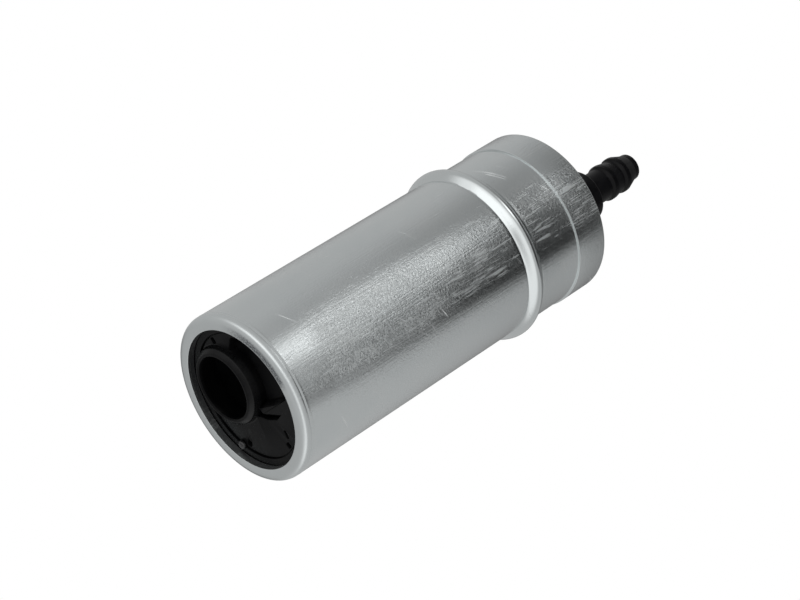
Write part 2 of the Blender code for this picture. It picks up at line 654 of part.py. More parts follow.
def make_shaft():
    """Motor shaft with a drive flat at the impeller and a collar above the lower bush."""
    collar_top = SHAFT_COLLAR_BASE + SHAFT_COLLAR_LENGTH
    chamfer = LIP_EDGE
    profile = [(0.0, SHAFT_TOP), (SHAFT_RADIUS - chamfer, SHAFT_TOP), (SHAFT_RADIUS, SHAFT_TOP - chamfer)]
    profile += [(SHAFT_RADIUS, collar_top), (SHAFT_COLLAR_RADIUS, collar_top)]
    profile += [(SHAFT_COLLAR_RADIUS, SHAFT_COLLAR_BASE), (SHAFT_RADIUS, SHAFT_COLLAR_BASE)]
    profile += [(SHAFT_RADIUS, SHAFT_BASE + chamfer), (SHAFT_RADIUS - chamfer, SHAFT_BASE)]
    profile += [(0.0, SHAFT_BASE)]
    shaft = turned("armature_shaft", profile, SMALL_STEPS, STEEL)
    flat_top = PRESSURE_BASE - FIT / 2
    cut(shaft, shaft_flat("shaft_drive_flat", SHAFT_RADIUS - SHAFT_FLAT_DEPTH, SUCTION_BASE, flat_top))
    sleeve("lower_washer", BUSH_BORE, WASHER_RADIUS, LOWER_WASHER_BASE,
           LOWER_WASHER_BASE + WASHER_THICKNESS, SMALL_STEPS, WHITE_PLASTIC)
    sleeve("upper_washer", BUSH_BORE, WASHER_RADIUS, UPPER_WASHER_BASE,
           UPPER_WASHER_BASE + WASHER_THICKNESS, SMALL_STEPS, WHITE_PLASTIC)


def slot_outline(inset, with_opening):
    """One armature slot in plan: it widens outwards, and may open through the rim."""
    half_pitch = math.pi / POLE_COUNT
    outer = ARMATURE_RADIUS - POLE_TIP
    inner = ARMATURE_RADIUS * SLOT_FLOOR_SHARE
    half_outer = outer * math.tan(half_pitch) - ARMATURE_RADIUS * TOOTH_TIP_SHARE / 2
    half_inner = inner * math.tan(half_pitch) - ARMATURE_RADIUS * TOOTH_ROOT_SHARE / 2
    corners = [(inner + inset, half_inner - inset), (outer - inset, half_outer - inset)]
    if with_opening:
        opening = SLOT_OPENING / 2
        corners += [(outer - inset, opening), (ARMATURE_RADIUS + AIR_GAP, opening)]
    return corners + [(x, -y) for x, y in reversed(corners)]


def slot_prisms(name, inset, with_opening, base, top):
    shape = bmesh.new()
    for i in range(POLE_COUNT):
        outline = slot_outline(inset, with_opening)
        add_prism(shape, outline, base, top, math.tau * i / POLE_COUNT)
    bmesh.ops.recalc_face_normals(shape, faces=shape.faces[:])
    return from_bmesh(name, shape)


def end_turn_profile(base, top, bulge_up):
    """Rounded section of the coil ends, flat against the stack and round on the far side."""
    inner = SHAFT_COLLAR_RADIUS + 4 * FIT
    outer = ARMATURE_RADIUS - POLE_TIP
    radius = min(END_TURN_ROUND, (outer - inner) / 2 - FIT, top - base - FIT)
    if bulge_up:
        profile = arc((inner + radius, top - radius), radius, 180, 90, 2)
        profile += arc((outer - radius, top - radius), radius, 90, 0, 2)
        profile += [(outer, base), (inner, base)]
        return profile
    profile = [(inner, top), (outer, top)]
    profile += arc((outer - radius, base + radius), radius, 0, -90, 2)
    profile += arc((inner + radius, base + radius), radius, -90, -180, 2)
    return profile


def make_armature():
    """Slotted lamination stack with its winding: bundles in the slots and round end turns."""
    stack = sleeve("lamination_stack", BUSH_BORE, ARMATURE_RADIUS, STACK_BASE, STACK_TOP,
                   BORE_STEPS, IRON_SHEET)
    cut(stack, slot_prisms("stack_slots", 0.0, True, STACK_BASE - FIT, STACK_TOP + FIT))
    lower = end_turn_profile(LOWER_TURN_BASE, STACK_BASE - FIT, False)
    upper = end_turn_profile(STACK_TOP + FIT, UPPER_TURN_TOP, True)
    winding = turned("armature_winding", lower, ROTOR_STEPS, COPPER)
    upper_turns = turned("upper_end_turns", upper, ROTOR_STEPS)
    overlap = END_TURN_HEIGHT / 4
    bars = slot_prisms("slot_bundles", FIT, False, STACK_BASE - overlap, STACK_TOP + overlap)
    join(winding, bars, upper_turns)


def make_commutator():
    """Flat-faced commutator: copper bars parted by slots, with riser tabs, on a moulded hub."""
    sleeve("commutator_hub", BUSH_BORE, COMMUTATOR_RADIUS - RISER_LENGTH, COMMUTATOR_HUB_BASE,
           COMMUTATOR_HUB_BASE + COMMUTATOR_HUB_THICKNESS, SMALL_STEPS, BROWN_PHENOLIC)
    bore = BUSH_BORE + 2 * FIT
    riser_top = COMMUTATOR_BASE + COMMUTATOR_THICKNESS / 4
    profile = [(bore, COMMUTATOR_TOP), (COMMUTATOR_RADIUS, COMMUTATOR_TOP),
               (COMMUTATOR_RADIUS, riser_top), (COMMUTATOR_RADIUS + RISER_LENGTH, riser_top),
               (COMMUTATOR_RADIUS + RISER_LENGTH, COMMUTATOR_BASE), (bore, COMMUTATOR_BASE)]
    commutator = turned("commutator", profile, ROTOR_STEPS, COPPER)
    slots = bmesh.new()
    reach = COMMUTATOR_RADIUS + 2 * RISER_LENGTH
    for i in range(POLE_COUNT):
        turn = math.tau * (i + 0.5) / POLE_COUNT
        low = (bore - FIT, -BAR_SLOT_WIDTH / 2, riser_top)
        add_block(slots, low, (reach, BAR_SLOT_WIDTH / 2, COMMUTATOR_TOP + FIT), turn)
    for i in range(POLE_COUNT):
        turn = math.tau * (i + 0.5) / POLE_COUNT
        gap = COMMUTATOR_RADIUS * math.sin(math.pi / POLE_COUNT) / 2
        low = (COMMUTATOR_RADIUS, -gap, COMMUTATOR_BASE - FIT)
        add_block(slots, low, (reach, gap, riser_top - FIT), turn)
    cut(commutator, from_bmesh("bar_slots", slots))


def make_magnets():
    """Two ferrite shells inside the can, held apart by two bent spring clips."""
    clip_half = (math.pi - MAGNET_SWEEP) / 2 - math.radians(3)
    for name, middle in (("magnet_a", VALVE_AZIMUTH), ("magnet_b", VALVE_AZIMUTH + math.pi)):
        sector(name, MAGNET_BORE, SEAT_RADIUS, MAGNET_BASE, MAGNET_TOP, middle,
               MAGNET_SWEEP, SMALL_STEPS, FERRITE)
    for name, side in (("magnet_clip_a", 0.5), ("magnet_clip_b", -0.5)):
        middle = VALVE_AZIMUTH + math.pi * side
        make_clip(name, middle, clip_half)


def make_clip(name, middle, half_sweep):
    """Sheet bent along the can wall, with a leg turned in beside each magnet."""
    steps = 8
    leg = SEAT_RADIUS - MAGNET_THICKNESS * 0.7
    shape = bmesh.new()
    path = [polar(leg, middle - half_sweep, MAGNET_BASE)]
    for i in range(steps + 1):
        angle = middle + half_sweep * (2 * i / steps - 1)
        path.append(polar(SEAT_RADIUS, angle, MAGNET_BASE))
    path.append(polar(leg, middle + half_sweep, MAGNET_BASE))
    corners = [shape.verts.new(point) for point in path]
    edges = [shape.edges.new(pair) for pair in zip(corners, corners[1:])]
    raised = bmesh.ops.extrude_edge_only(shape, edges=edges)
    moved = [v for v in raised["geom"] if isinstance(v, bmesh.types.BMVert)]
    bmesh.ops.translate(shape, verts=moved, vec=(0.0, 0.0, MAGNET_TOP - MAGNET_BASE))
    clip = from_bmesh(name, shape, STEEL)
    sheet = clip.modifiers.new("sheet", "SOLIDIFY")
    sheet.thickness = CLIP_SHEET
    sheet.offset = 1.0
    sheet.use_even_offset = True


def make_spacer():
    """Moulded ring between the pump stage and the magnets, with windows for the fuel."""
    spacer = sleeve("spacer_ring", SEAT_RADIUS - SPACER_WALL, SEAT_RADIUS, SPACER_BASE, SPACER_TOP,
                    BORE_STEPS, BLACK_PLASTIC)
    windows = bmesh.new()
    half = SEAT_RADIUS * math.sin(math.pi / SPACER_WINDOWS) / 2
    for i in range(SPACER_WINDOWS):
        low = (SEAT_RADIUS - 2 * SPACER_WALL, -half, SPACER_BASE + SPACER_LENGTH / 2)
        high = (SEAT_RADIUS + FIT, half, SPACER_TOP + FIT)
        add_block(windows, low, high, math.tau * i / SPACER_WINDOWS)
    cut(spacer, from_bmesh("spacer_windows", windows))


def barb_profile():
    """Valve boss and two-ribbed hose barb in section, from the tip down to the deck."""
    first = BOSS_TOP + BARB_NECK_LENGTH
    tip = first + BARB_PITCH + BARB_TIP_LENGTH
    edge = LIP_EDGE
    ramp = BARB_TIP_LENGTH * 0.75
    profile = [(0.0, tip), (BARB_TIP_RADIUS - edge, tip), (BARB_TIP_RADIUS, tip - edge)]
    profile += [(BARB_TIP_RADIUS, tip - BARB_TIP_LENGTH + ramp)]
    for crest, valley in ((first + BARB_PITCH, BARB_VALLEY_RADIUS), (first, BARB_NECK_RADIUS)):
        rise = BARB_CREST_RADIUS - valley
        profile += [(BARB_CREST_RADIUS - rise / 4, crest + 3 * rise / 2), (BARB_CREST_RADIUS, crest + rise)]
        profile += [(BARB_CREST_RADIUS, crest), (BARB_CREST_RADIUS - rise / 4, crest - rise / 2)]
        profile += [(valley, crest - 3 * rise / 2)]
        if crest > first:
            profile += [(valley, crest - BARB_PITCH / 2)]
    profile += [(BARB_NECK_RADIUS, BOSS_TOP + BOSS_FILLET)]
    profile += arc((BARB_NECK_RADIUS + BOSS_FILLET, BOSS_TOP + BOSS_FILLET), BOSS_FILLET, 180, 270, 3)
    profile += arc((BOSS_RADIUS - BOSS_FILLET / 2, BOSS_TOP - BOSS_FILLET / 2), BOSS_FILLET / 2, 90, 0, 3)
    profile += [(BOSS_RADIUS, DECK_TOP + BOSS_FILLET)]
    profile += arc((BOSS_RADIUS + BOSS_FILLET, DECK_TOP + BOSS_FILLET), BOSS_FILLET, 180, 270, 3)
    inside = BOSS_RADIUS + BOSS_FILLET
    profile += [(inside, DECK_BASE + DECK_THICKNESS / 2), (BOSS_RADIUS, DECK_BASE + DECK_THICKNESS / 2)]
    profile += [(BOSS_RADIUS, CHAMBER_BASE), (0.0, CHAMBER_BASE)]
    return profile


def valve_centre():
    return polar(DECK_RADIUS - BOSS_RADIUS - BOSS_MARGIN, VALVE_AZIMUTH)


def relief_centre():
    return polar(DECK_RADIUS - RELIEF_BOSS_RADIUS - BOSS_MARGIN, RELIEF_AZIMUTH)


def brush_azimuths():
    return {"a": VALVE_AZIMUTH - math.pi / 2, "b": VALVE_AZIMUTH + math.pi / 2}


def terminal_places():
    """Plan position of each terminal, opposite the valve boss, by node name."""
    away = VALVE_AZIMUTH + math.pi
    return {"terminal_positive": polar(TERMINAL_RADIUS, away + TERMINAL_SPREAD),
            "terminal_negative": polar(TERMINAL_RADIUS, away - TERMINAL_SPREAD)}


def make_outlet_cover():
    """Moulded cover: skirt on the magnets, sealed shoulder under the lip, deck, guides and barb."""
    land_base = SHOULDER_TOP - SEAL_LAND_HEIGHT
    skirt_bore = SEAT_RADIUS - SKIRT_WALL
    seal_height = SHOULDER_TOP - SEAL_LAND_HEIGHT / 2
    profile = [(0.0, DECK_TOP), (DECK_RADIUS - LIP_EDGE, DECK_TOP), (DECK_RADIUS, DECK_TOP - LIP_EDGE)]
    profile += [(DECK_RADIUS, SHOULDER_TOP), (SEAT_RADIUS, SHOULDER_TOP)]
    profile += seal_groove(seal_height)
    profile += [(SEAT_RADIUS, SKIRT_BASE), (skirt_bore, SKIRT_BASE), (skirt_bore, land_base)]
    profile += [(LAND_BORE, land_base), (LAND_BORE, DECK_BASE), (0.0, DECK_BASE)]
    cover = turned("outlet_cover", profile, BORE_STEPS, BLACK_PLASTIC)
    seal("outlet_seal", seal_radius(), seal_height, BLACK_RUBBER)

    inside = DECK_BASE + DECK_THICKNESS / 4
    bearing = rod("upper_bearing_boss", BEARING_RADIUS, BEARING_BASE, inside, SMALL_STEPS)
    join(cover, bearing)
    hollow = (BRUSH_DEPTH + 2 * FIT, BRUSH_WIDTH + 2 * FIT)
    solid = (hollow[0] + 2 * GUIDE_WALL, hollow[1] + 2 * GUIDE_WALL)
    for side, azimuth in brush_azimuths().items():
        guide = block("brush_guide_" + side, (*solid, inside - GUIDE_BASE), GUIDE_BASE,
                      polar(BRUSH_RADIUS, azimuth), azimuth)
        join(cover, guide)
    barb = turned("valve_boss_and_barb", barb_profile(), SMALL_STEPS, None, valve_centre())
    relief_base = RELIEF_SEAT - RELIEF_SEAT_THICKNESS
    relief = rod("relief_boss", RELIEF_BOSS_RADIUS, relief_base, RELIEF_TOP, SMALL_STEPS, None,
                 relief_centre())
    join(cover, barb, relief)

    for side, azimuth in brush_azimuths().items():
        channel = block("brush_channel_" + side, (*hollow, DECK_BASE - BEARING_BASE + 2 * FIT),
                        BEARING_BASE - FIT, polar(BRUSH_RADIUS, azimuth), azimuth)
        cut(cover, channel)
    bearing_bore = rod("upper_bush_bore", BUSH_RADIUS + FIT, BEARING_BASE - FIT, SHAFT_TOP + FIT,
                       SMALL_STEPS)
    tip = BOSS_TOP + BARB_NECK_LENGTH + BARB_PITCH + BARB_TIP_LENGTH
    chamber = [(0.0, tip + FIT), (BARB_BORE, tip + FIT), (BARB_BORE, CHAMBER_TOP),
               (VALVE_CHAMBER_RADIUS, CHAMBER_TOP), (VALVE_CHAMBER_RADIUS, CHAMBER_BASE - FIT),
               (0.0, CHAMBER_BASE - FIT)]
    chamber = turned("valve_chamber", chamber, SMALL_STEPS, None, valve_centre())
    turn_half_facet(chamber, SMALL_STEPS)
    relief_hole = [(0.0, RELIEF_TOP + FIT), (RELIEF_BORE, RELIEF_TOP + FIT), (RELIEF_BORE, RELIEF_SEAT),
                   (RELIEF_ORIFICE, RELIEF_SEAT), (RELIEF_ORIFICE, relief_base - FIT),
                   (0.0, relief_base - FIT)]
    relief_hole = turned("relief_hole", relief_hole, SMALL_STEPS // 2, None, relief_centre())
    turn_half_facet(relief_hole, SMALL_STEPS)
    cut(cover, bearing_bore, chamber, relief_hole)
    for name, centre in terminal_places().items():
        slot_size = (TERMINAL_WIDTHS[name] + 2 * FIT, TERMINAL_THICKNESS + 2 * FIT, 2 * DECK_THICKNESS)
        slot = block(name + "_slot", slot_size, DECK_TOP - 1.5 * DECK_THICKNESS, centre, terminal_turn())
        cut(cover, slot)
    sleeve("upper_bush", BUSH_BORE, BUSH_RADIUS, UPPER_BUSH_BASE, UPPER_BUSH_BASE + BUSH_LENGTH,
           SMALL_STEPS, BRONZE)


def terminal_turn():
    """Both blades stand with their width across the line from the valve boss."""
    return VALVE_AZIMUTH + math.pi / 2


def make_terminals():
    """Blade terminals with a shoulder on the deck, and a choke under each inside the cover."""
    for name, centre in terminal_places().items():
        width = TERMINAL_WIDTHS[name]
        half = width / 2
        base = DECK_BASE - TERMINAL_FOOT
        shoulder = DECK_TOP + FIT
        top = shoulder + TERMINAL_FOOT
        tip = top + TERMINAL_HEIGHT
        wide = half + TERMINAL_FOOT
        chamfer = TERMINAL_THICKNESS
        outline = [(half, base), (half, shoulder), (wide, shoulder), (wide, top), (half, top),
                   (half, tip - 2 * chamfer), (half - chamfer, tip)]
        outline += [(-x, z) for x, z in reversed(outline)]
        shape = bmesh.new()
        corners = [shape.verts.new((x, -TERMINAL_THICKNESS / 2, z)) for x, z in outline]
        face = shape.faces.new(corners)
        raised = bmesh.ops.extrude_face_region(shape, geom=[face])
        moved = [v for v in raised["geom"] if isinstance(v, bmesh.types.BMVert)]
        bmesh.ops.translate(shape, verts=moved, vec=(0.0, TERMINAL_THICKNESS, 0.0))
        bmesh.ops.recalc_face_normals(shape, faces=shape.faces[:])
        from_bmesh(name, shape, TINNED_BRASS, (centre[0], centre[1], 0.0), terminal_turn())
        choke_top = base - FIT
        choke = name.replace("terminal", "choke")
        rod(choke, CHOKE_RADIUS, choke_top - CHOKE_LENGTH, choke_top, SMALL_STEPS, COPPER, centre)


def make_brushes():
    """Carbon brushes in their guides, pressed on the commutator face by coil springs."""
    radius = BRUSH_WIDTH / 2 - SPRING_WIRE - FIT
    for side, azimuth in brush_azimuths().items():
        centre = polar(BRUSH_RADIUS, azimuth)
        size = (BRUSH_DEPTH, BRUSH_WIDTH, BRUSH_LENGTH)
        block("brush_" + side, size, BRUSH_BASE, centre, azimuth, CARBON)
        coil_spring("brush_spring_" + side, radius, BRUSH_TOP + FIT, DECK_BASE, 4, centre, STEEL)


def make_check_valve():
    """Seat ring, sprung poppet with a stem, and the spring under the roof of the boss."""
    centre = valve_centre()
    sleeve("check_seat", SEAT_BORE, VALVE_CHAMBER_RADIUS - FIT, CHAMBER_BASE + FIT, SEAT_TOP,
           SMALL_STEPS, BRASS, centre)
    head_top = POPPET_BASE + POPPET_THICKNESS
    stem_top = head_top + POPPET_STEM_LENGTH
    nose = SEAT_BORE - 2 * FIT
    profile = [(0.0, stem_top), (POPPET_STEM_RADIUS, stem_top), (POPPET_STEM_RADIUS, head_top),
               (POPPET_RADIUS, head_top), (POPPET_RADIUS, POPPET_BASE), (nose, POPPET_BASE),
               (nose / 2, POPPET_BASE - SEAT_THICKNESS / 2), (0.0, POPPET_BASE - SEAT_THICKNESS / 2)]
    turned("check_poppet", profile, SMALL_STEPS, BLACK_RUBBER, centre)
    radius = (POPPET_STEM_RADIUS + POPPET_RADIUS) / 2 + SPRING_WIRE + FIT
    coil_spring("check_spring", radius, head_top + FIT, CHAMBER_TOP - FIT, 4, centre, STEEL)


def make_relief_valve():
    """Ball on the orifice of the relief boss, its spring, and the holed plug on top."""
    centre = relief_centre()
    drop = math.sqrt(RELIEF_BALL_RADIUS ** 2 - RELIEF_ORIFICE ** 2)
    ball_middle = RELIEF_SEAT + drop + FIT
    ball = bmesh.new()
    bmesh.ops.create_uvsphere(ball, u_segments=16, v_segments=10, radius=RELIEF_BALL_RADIUS)
    from_bmesh("relief_ball", ball, STEEL, (centre[0], centre[1], ball_middle))
    sleeve("relief_plug", RELIEF_ORIFICE * 0.7, RELIEF_BORE - FIT, RELIEF_PLUG_BASE,
           RELIEF_PLUG_BASE + RELIEF_PLUG_LENGTH, SMALL_STEPS, BRASS, centre)
    radius = RELIEF_BORE - FIT - SPRING_WIRE - FIT
    seat_height = ball_middle + math.sqrt(max(RELIEF_BALL_RADIUS ** 2 - radius ** 2, 0.0)) + 2 * FIT
    coil_spring("relief_spring", radius, seat_height, RELIEF_PLUG_BASE - FIT, 4, centre, STEEL)


def shade_parts():
    """Turn each part's modifiers into its mesh, and shade it smooth up to its edges."""
    scene_state = bpy.context.evaluated_depsgraph_get()
    meshes = {}
    for item in PARTS.objects:
        if item.type == "MESH":
            meshes[item.name] = bpy.data.meshes.new_from_object(item.evaluated_get(scene_state))
    for name, mesh in meshes.items():
        item = PARTS.objects[name]
        item.modifiers.clear()
        item.data = mesh
        mesh.shade_smooth()
        mesh.set_sharp_from_angle(angle=math.radians(35))


make_can()
make_inlet_cover()
make_suction_plate()
make_impeller()
make_pressure_plate()
make_shaft()
make_armature()
make_commutator()
make_magnets()
make_spacer()
make_outlet_cover()
make_terminals()
make_brushes()
make_check_valve()
make_relief_valve()
shade_parts()
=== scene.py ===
"""Looks of the in-tank fuel pump: zinc-plated can, moulded black covers and hose barb, tinned
blade terminals, and the finishes of the pump stage, motor and valves inside.

Lengths are in metres, in the pump's own frame: it stands on its inlet rim, +Z up.
"""

import math

import bmesh
import bpy
from mathutils import Matrix, Vector


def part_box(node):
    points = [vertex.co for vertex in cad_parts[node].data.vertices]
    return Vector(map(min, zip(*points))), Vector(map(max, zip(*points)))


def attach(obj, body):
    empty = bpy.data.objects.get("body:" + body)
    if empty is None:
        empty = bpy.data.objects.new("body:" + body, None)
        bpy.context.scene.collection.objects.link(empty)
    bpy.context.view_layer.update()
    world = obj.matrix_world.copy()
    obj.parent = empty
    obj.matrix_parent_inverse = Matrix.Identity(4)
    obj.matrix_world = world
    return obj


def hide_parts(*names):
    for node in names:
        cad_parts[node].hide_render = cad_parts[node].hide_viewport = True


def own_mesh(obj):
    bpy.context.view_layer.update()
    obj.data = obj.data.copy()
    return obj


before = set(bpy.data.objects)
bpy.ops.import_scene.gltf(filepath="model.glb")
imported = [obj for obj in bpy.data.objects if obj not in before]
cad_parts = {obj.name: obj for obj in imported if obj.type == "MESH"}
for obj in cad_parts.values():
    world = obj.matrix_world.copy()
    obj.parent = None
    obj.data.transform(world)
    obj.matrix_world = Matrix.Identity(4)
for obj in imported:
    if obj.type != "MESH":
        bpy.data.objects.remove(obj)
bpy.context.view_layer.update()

MM = 0.001

# Facets round the large and small turned pieces
WIDE_STEPS = 192
SMALL_STEPS = 96

# Edges sharper than this stay sharp
SHARP_ANGLE = math.radians(38.0)

# Can, from its solid's own box
CAN_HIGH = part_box("pump_can")[1]
CAN_TOP = CAN_HIGH.z
CAN_RADIUS = 21.5 * MM
CAN_BORE = 19.9 * MM
COLLAR_RISE = 0.4 * MM
COLLAR_LENGTH = 9.7 * MM
BEAD_HEIGHT = CAN_HIGH.x - CAN_RADIUS
BEAD_CENTRE = CAN_TOP - 25.8 * MM
BEAD_HALF_WIDTH = 2.6 * MM
BEAD_POINTS = 28
LIP_RADIUS = 18.0 * MM
LIP_DEPTH = 2.0 * MM
LIP_TURN = 1.75 * MM
LIP_POINTS = 16
CRIMP_BASE = 2.0 * MM
OUTLET_LIP_RADIUS = 18.0 * MM
OUTLET_LIP_DEPTH = 1.8 * MM

# Inlet cover
COVER_LOW, COVER_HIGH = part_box("inlet_cover")
COVER_RADIUS = COVER_HIGH.x
RING_BASE = 2.1 * MM
RING_RADIUS = 16.35 * MM
GROOVE_RADIUS = 16.1 * MM
GROOVE_DEPTH = 0.7 * MM
FLOOR_BASE = 2.5 * MM
FLOOR_TOP = 5.6 * MM
COVER_TOP = COVER_HIGH.z
PLENUM_RADIUS = COVER_RADIUS - 3.4 * MM
TUBE_CENTRE = Vector((4.618, -4.715, 0.0)) * MM
SEAL_FLOOR = 17.7 * MM
SEAL_HALF_WIDTH = 1.1 * MM
COVER_SEAL = 8.0 * MM
TUBE_BORE = 8.1 * MM
TUBE_RADIUS = 10.2 * MM
TUBE_RIM = COVER_LOW.z
RECESS_RADIUS = 14.9 * MM
RECESS_TOP = FLOOR_BASE + 2.1 * MM
MARK_DEPTH = 1.1 * MM
STUD_RADIUS = 16.3 * MM
STUD_AZIMUTH = -123.6
STUD_PLAN = (2.1 * MM, 2.3 * MM, 1.0 * MM)

# Corners in mm, as (x, y, fillet): the recess beside the tube, then the wedge-shaped rib across its end
RECESS_START = ((-4.0, -2.7, 0.3), (-7.0, 1.4, 0.6), (-8.2, 4.9, 0.5), (-7.5, 8.0, 0.8))
RIB_CORNERS = ((-3.4, 0.1, 0.1), (-5.7, 0.9, 0.3), (-7.6, 6.0, 0.8), (-8.6, 9.0, 0.8), (-8.0, 12.6, 0.5),
               (-5.0, 13.6, 0.3), (-4.7, 7.2, 0.5))

# Marks in the inlet floor: length, width and radius in mm, then azimuth and turn in degrees
FLOOR_MARKS = ((1.7, 1.3, 15.0, -1.0, 4.0), (1.5, 1.4, 15.0, 166.8, 169.5),
               (1.8, 1.5, 14.7, 229.0, 231.5), (2.2, 0.8, 13.2, 157.5, 193.0))

# Outlet cover
DECK_TOP = CAN_TOP + 0.9 * MM
DECK_BASE = DECK_TOP - 3.5 * MM
DECK_RADIUS = OUTLET_LIP_RADIUS - 0.3 * MM
SKIRT_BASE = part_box("outlet_cover")[0].z
SKIRT_BORE = COVER_RADIUS - 1.6 * MM
LAND_BORE = COVER_RADIUS - 4.4 * MM
BEARING_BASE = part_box("upper_bush")[0].z - 0.6 * MM
BRUSH_AZIMUTHS = (14.4, 194.4)
VALVE_CENTRE = Vector((-2.3128, 9.0082, 0.0)) * MM
BOSS_RADIUS = 6.8 * MM
BOSS_TOP = DECK_TOP + 7.1 * MM
CHAMBER_TOP = BOSS_TOP - 2.5 * MM
CHAMBER_BASE = CHAMBER_TOP - 12.2 * MM
BARB_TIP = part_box("outlet_cover")[1].z
BARB_BORE = 2.4 * MM
BARB_TIP_RADIUS = 3.5 * MM
BARB_CREST = 4.86 * MM
BARB_NECK = 4.28 * MM
BARB_FIRST = BOSS_TOP + 7.6 * MM
BARB_PITCH = 4.9 * MM
CHAMBER_RADIUS = 4.6 * MM
BEARING_RADIUS = 5.9 * MM
BEARING_HOLE = 4.3 * MM
BRUSH_PLACE = 8.2 * MM
GUIDE_PLAN = (7.2 * MM, 6.6 * MM, 0.4 * MM)
BRUSH_HOLE_PLAN = (5.0 * MM, 4.4 * MM, 0.2 * MM)
SEAL_LAND_HEIGHT = 4.0 * MM
RELIEF_CENTRE = (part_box("relief_plug")[0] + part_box("relief_plug")[1]) / 2
RELIEF_CENTRE.z = 0.0
RELIEF_TOP = DECK_TOP + 2.4 * MM
RELIEF_BASE = DECK_BASE - 8.0 * MM
RELIEF_SEAT = RELIEF_BASE + 2.6 * MM
RELIEF_BOSS = 3.6 * MM
RELIEF_BORE = 2.3 * MM
RELIEF_ORIFICE = 1.2 * MM
TERMINAL_TURN = math.radians(194.4)
TERMINAL_RADIUS = 10.55 * MM
TERMINAL_HALF_SHEET = 0.4 * MM
TERMINAL_SHOULDER = 1.1 * MM
TERMINAL_HOLE = 0.8 * MM
TERMINAL_HOLE_DROP = 4.2 * MM
TERMINALS = []
for terminal, width, azimuth in (("terminal_positive", 6.3, 317.4), ("terminal_negative", 4.8, 251.4)):
    across = math.radians(azimuth)
    place = (TERMINAL_RADIUS * math.cos(across), TERMINAL_RADIUS * math.sin(across))
    TERMINALS.append((terminal, width * MM, place))

# Springs: node, the joint that shortens it, and that joint's travel
SPRING_WIRE = 0.3 * MM
SPRING_TURNS = 4
SPRING_TURN_POINTS = 24
SPRINGS = (("brush_spring_a", "brush_a_slide", 3.0 * MM), ("brush_spring_b", "brush_b_slide", 3.0 * MM),
           ("check_spring", "check_valve_lift", 2.5 * MM), ("relief_spring", "relief_valve_lift", 1.0 * MM))


# Shader node helpers

def new_group(name, inputs, outputs):
    """Node group with float inputs of (name, value) and outputs of (name, socket type)."""
    group = bpy.data.node_groups.new(name, "ShaderNodeTree")
    for label, value in inputs:
        socket = group.interface.new_socket(label, in_out="INPUT", socket_type="NodeSocketFloat")
        socket.default_value = value
    for label, kind in outputs:
        group.interface.new_socket(label, in_out="OUTPUT", socket_type=kind)
    source = group.nodes.new("NodeGroupInput")
    sink = group.nodes.new("NodeGroupOutput")
    return group, source.outputs, sink.inputs


def wire(tree, socket, value):
    """Feed a socket from another socket, or set it to a plain value."""
    if isinstance(value, bpy.types.NodeSocket):
        tree.links.new(value, socket)
    else:
        socket.default_value = value


def math_node(tree, operation, first, second=0.0, third=0.0):
    node = tree.nodes.new("ShaderNodeMath")
    node.operation = operation
    for socket, value in zip(node.inputs, (first, second, third)):
        wire(tree, socket, value)
    return node.outputs[0]


def remap(tree, value, low, high, out_low=0.0, out_high=1.0):
    node = tree.nodes.new("ShaderNodeMapRange")
    node.interpolation_type = "SMOOTHSTEP"
    for label, item in (("Value", value), ("From Min", low), ("From Max", high),
                        ("To Min", out_low), ("To Max", out_high)):
        wire(tree, node.inputs[label], item)
    return node.outputs["Result"]


def noise(tree, vector, scale, detail=3.0, roughness=0.55, distortion=0.0):
    node = tree.nodes.new("ShaderNodeTexNoise")
    tree.links.new(vector, node.inputs["Vector"])
    for label, value in (("Scale", scale), ("Detail", detail), ("Roughness", roughness),
                         ("Distortion", distortion)):
        wire(tree, node.inputs[label], value)
    return node.outputs["Fac"]


def object_position(tree):
    return tree.nodes.new("ShaderNodeTexCoord").outputs["Object"]


def stretched(tree, vector, scale):
    node = tree.nodes.new("ShaderNodeMapping")
    tree.links.new(vector, node.inputs["Vector"])
    node.inputs["Scale"].default_value = scale
    return node.outputs["Vector"]


def mix_colour(tree, share, first, second):
    node = tree.nodes.new("ShaderNodeMix")
    node.data_type = "RGBA"
    wire(tree, node.inputs["Factor"], share)
    wire(tree, node.inputs["A"], first)
    wire(tree, node.inputs["B"], second)
    return node.outputs["Result"]


def split(tree, vector):
    """X, Y and Z of a vector, as three sockets."""
    node = tree.nodes.new("ShaderNodeSeparateXYZ")
    tree.links.new(vector, node.inputs[0])
    return node.outputs


def cylinder_position(tree):
    """Vector of (angle round Z in radians, distance from Z, height)."""
    x, y, z = split(tree, object_position(tree))
    angle = math_node(tree, "ARCTAN2", y, x)
    squares = math_node(tree, "ADD", math_node(tree, "MULTIPLY", x, x), math_node(tree, "MULTIPLY", y, y))
    radius = math_node(tree, "SQRT", squares)
    joined = tree.nodes.new("ShaderNodeCombineXYZ")
    for socket, value in zip(joined.inputs, (angle, radius, z)):
        tree.links.new(value, socket)
    return joined.outputs[0]


def build_grain():
    """Height of the small crystals of a zinc plating, and of finer specks on them."""
    group, given, result = new_group("plating_grain", [("Scale", 4000.0)],
                                     [("Height", "NodeSocketFloat")])
    crystals = group.nodes.new("ShaderNodeTexVoronoi")
    crystals.feature = "SMOOTH_F1"
    group.links.new(object_position(group), crystals.inputs["Vector"])
    group.links.new(given["Scale"], crystals.inputs["Scale"])
    finer = math_node(group, "MULTIPLY", given["Scale"], 1.7)
    specks = noise(group, object_position(group), finer, 4.0, 0.65)
    wire(group, result["Height"], math_node(group, "ADD", crystals.outputs["Distance"], specks))
    return group


def above_share(tree, pattern, share, soft):
    """Mask of the stated share of a noise pattern, its highest part."""
    edge = math_node(tree, "MULTIPLY_ADD", share, -0.36, 0.68)
    return remap(tree, pattern, math_node(tree, "SUBTRACT", edge, soft), math_node(tree, "ADD", edge, soft))


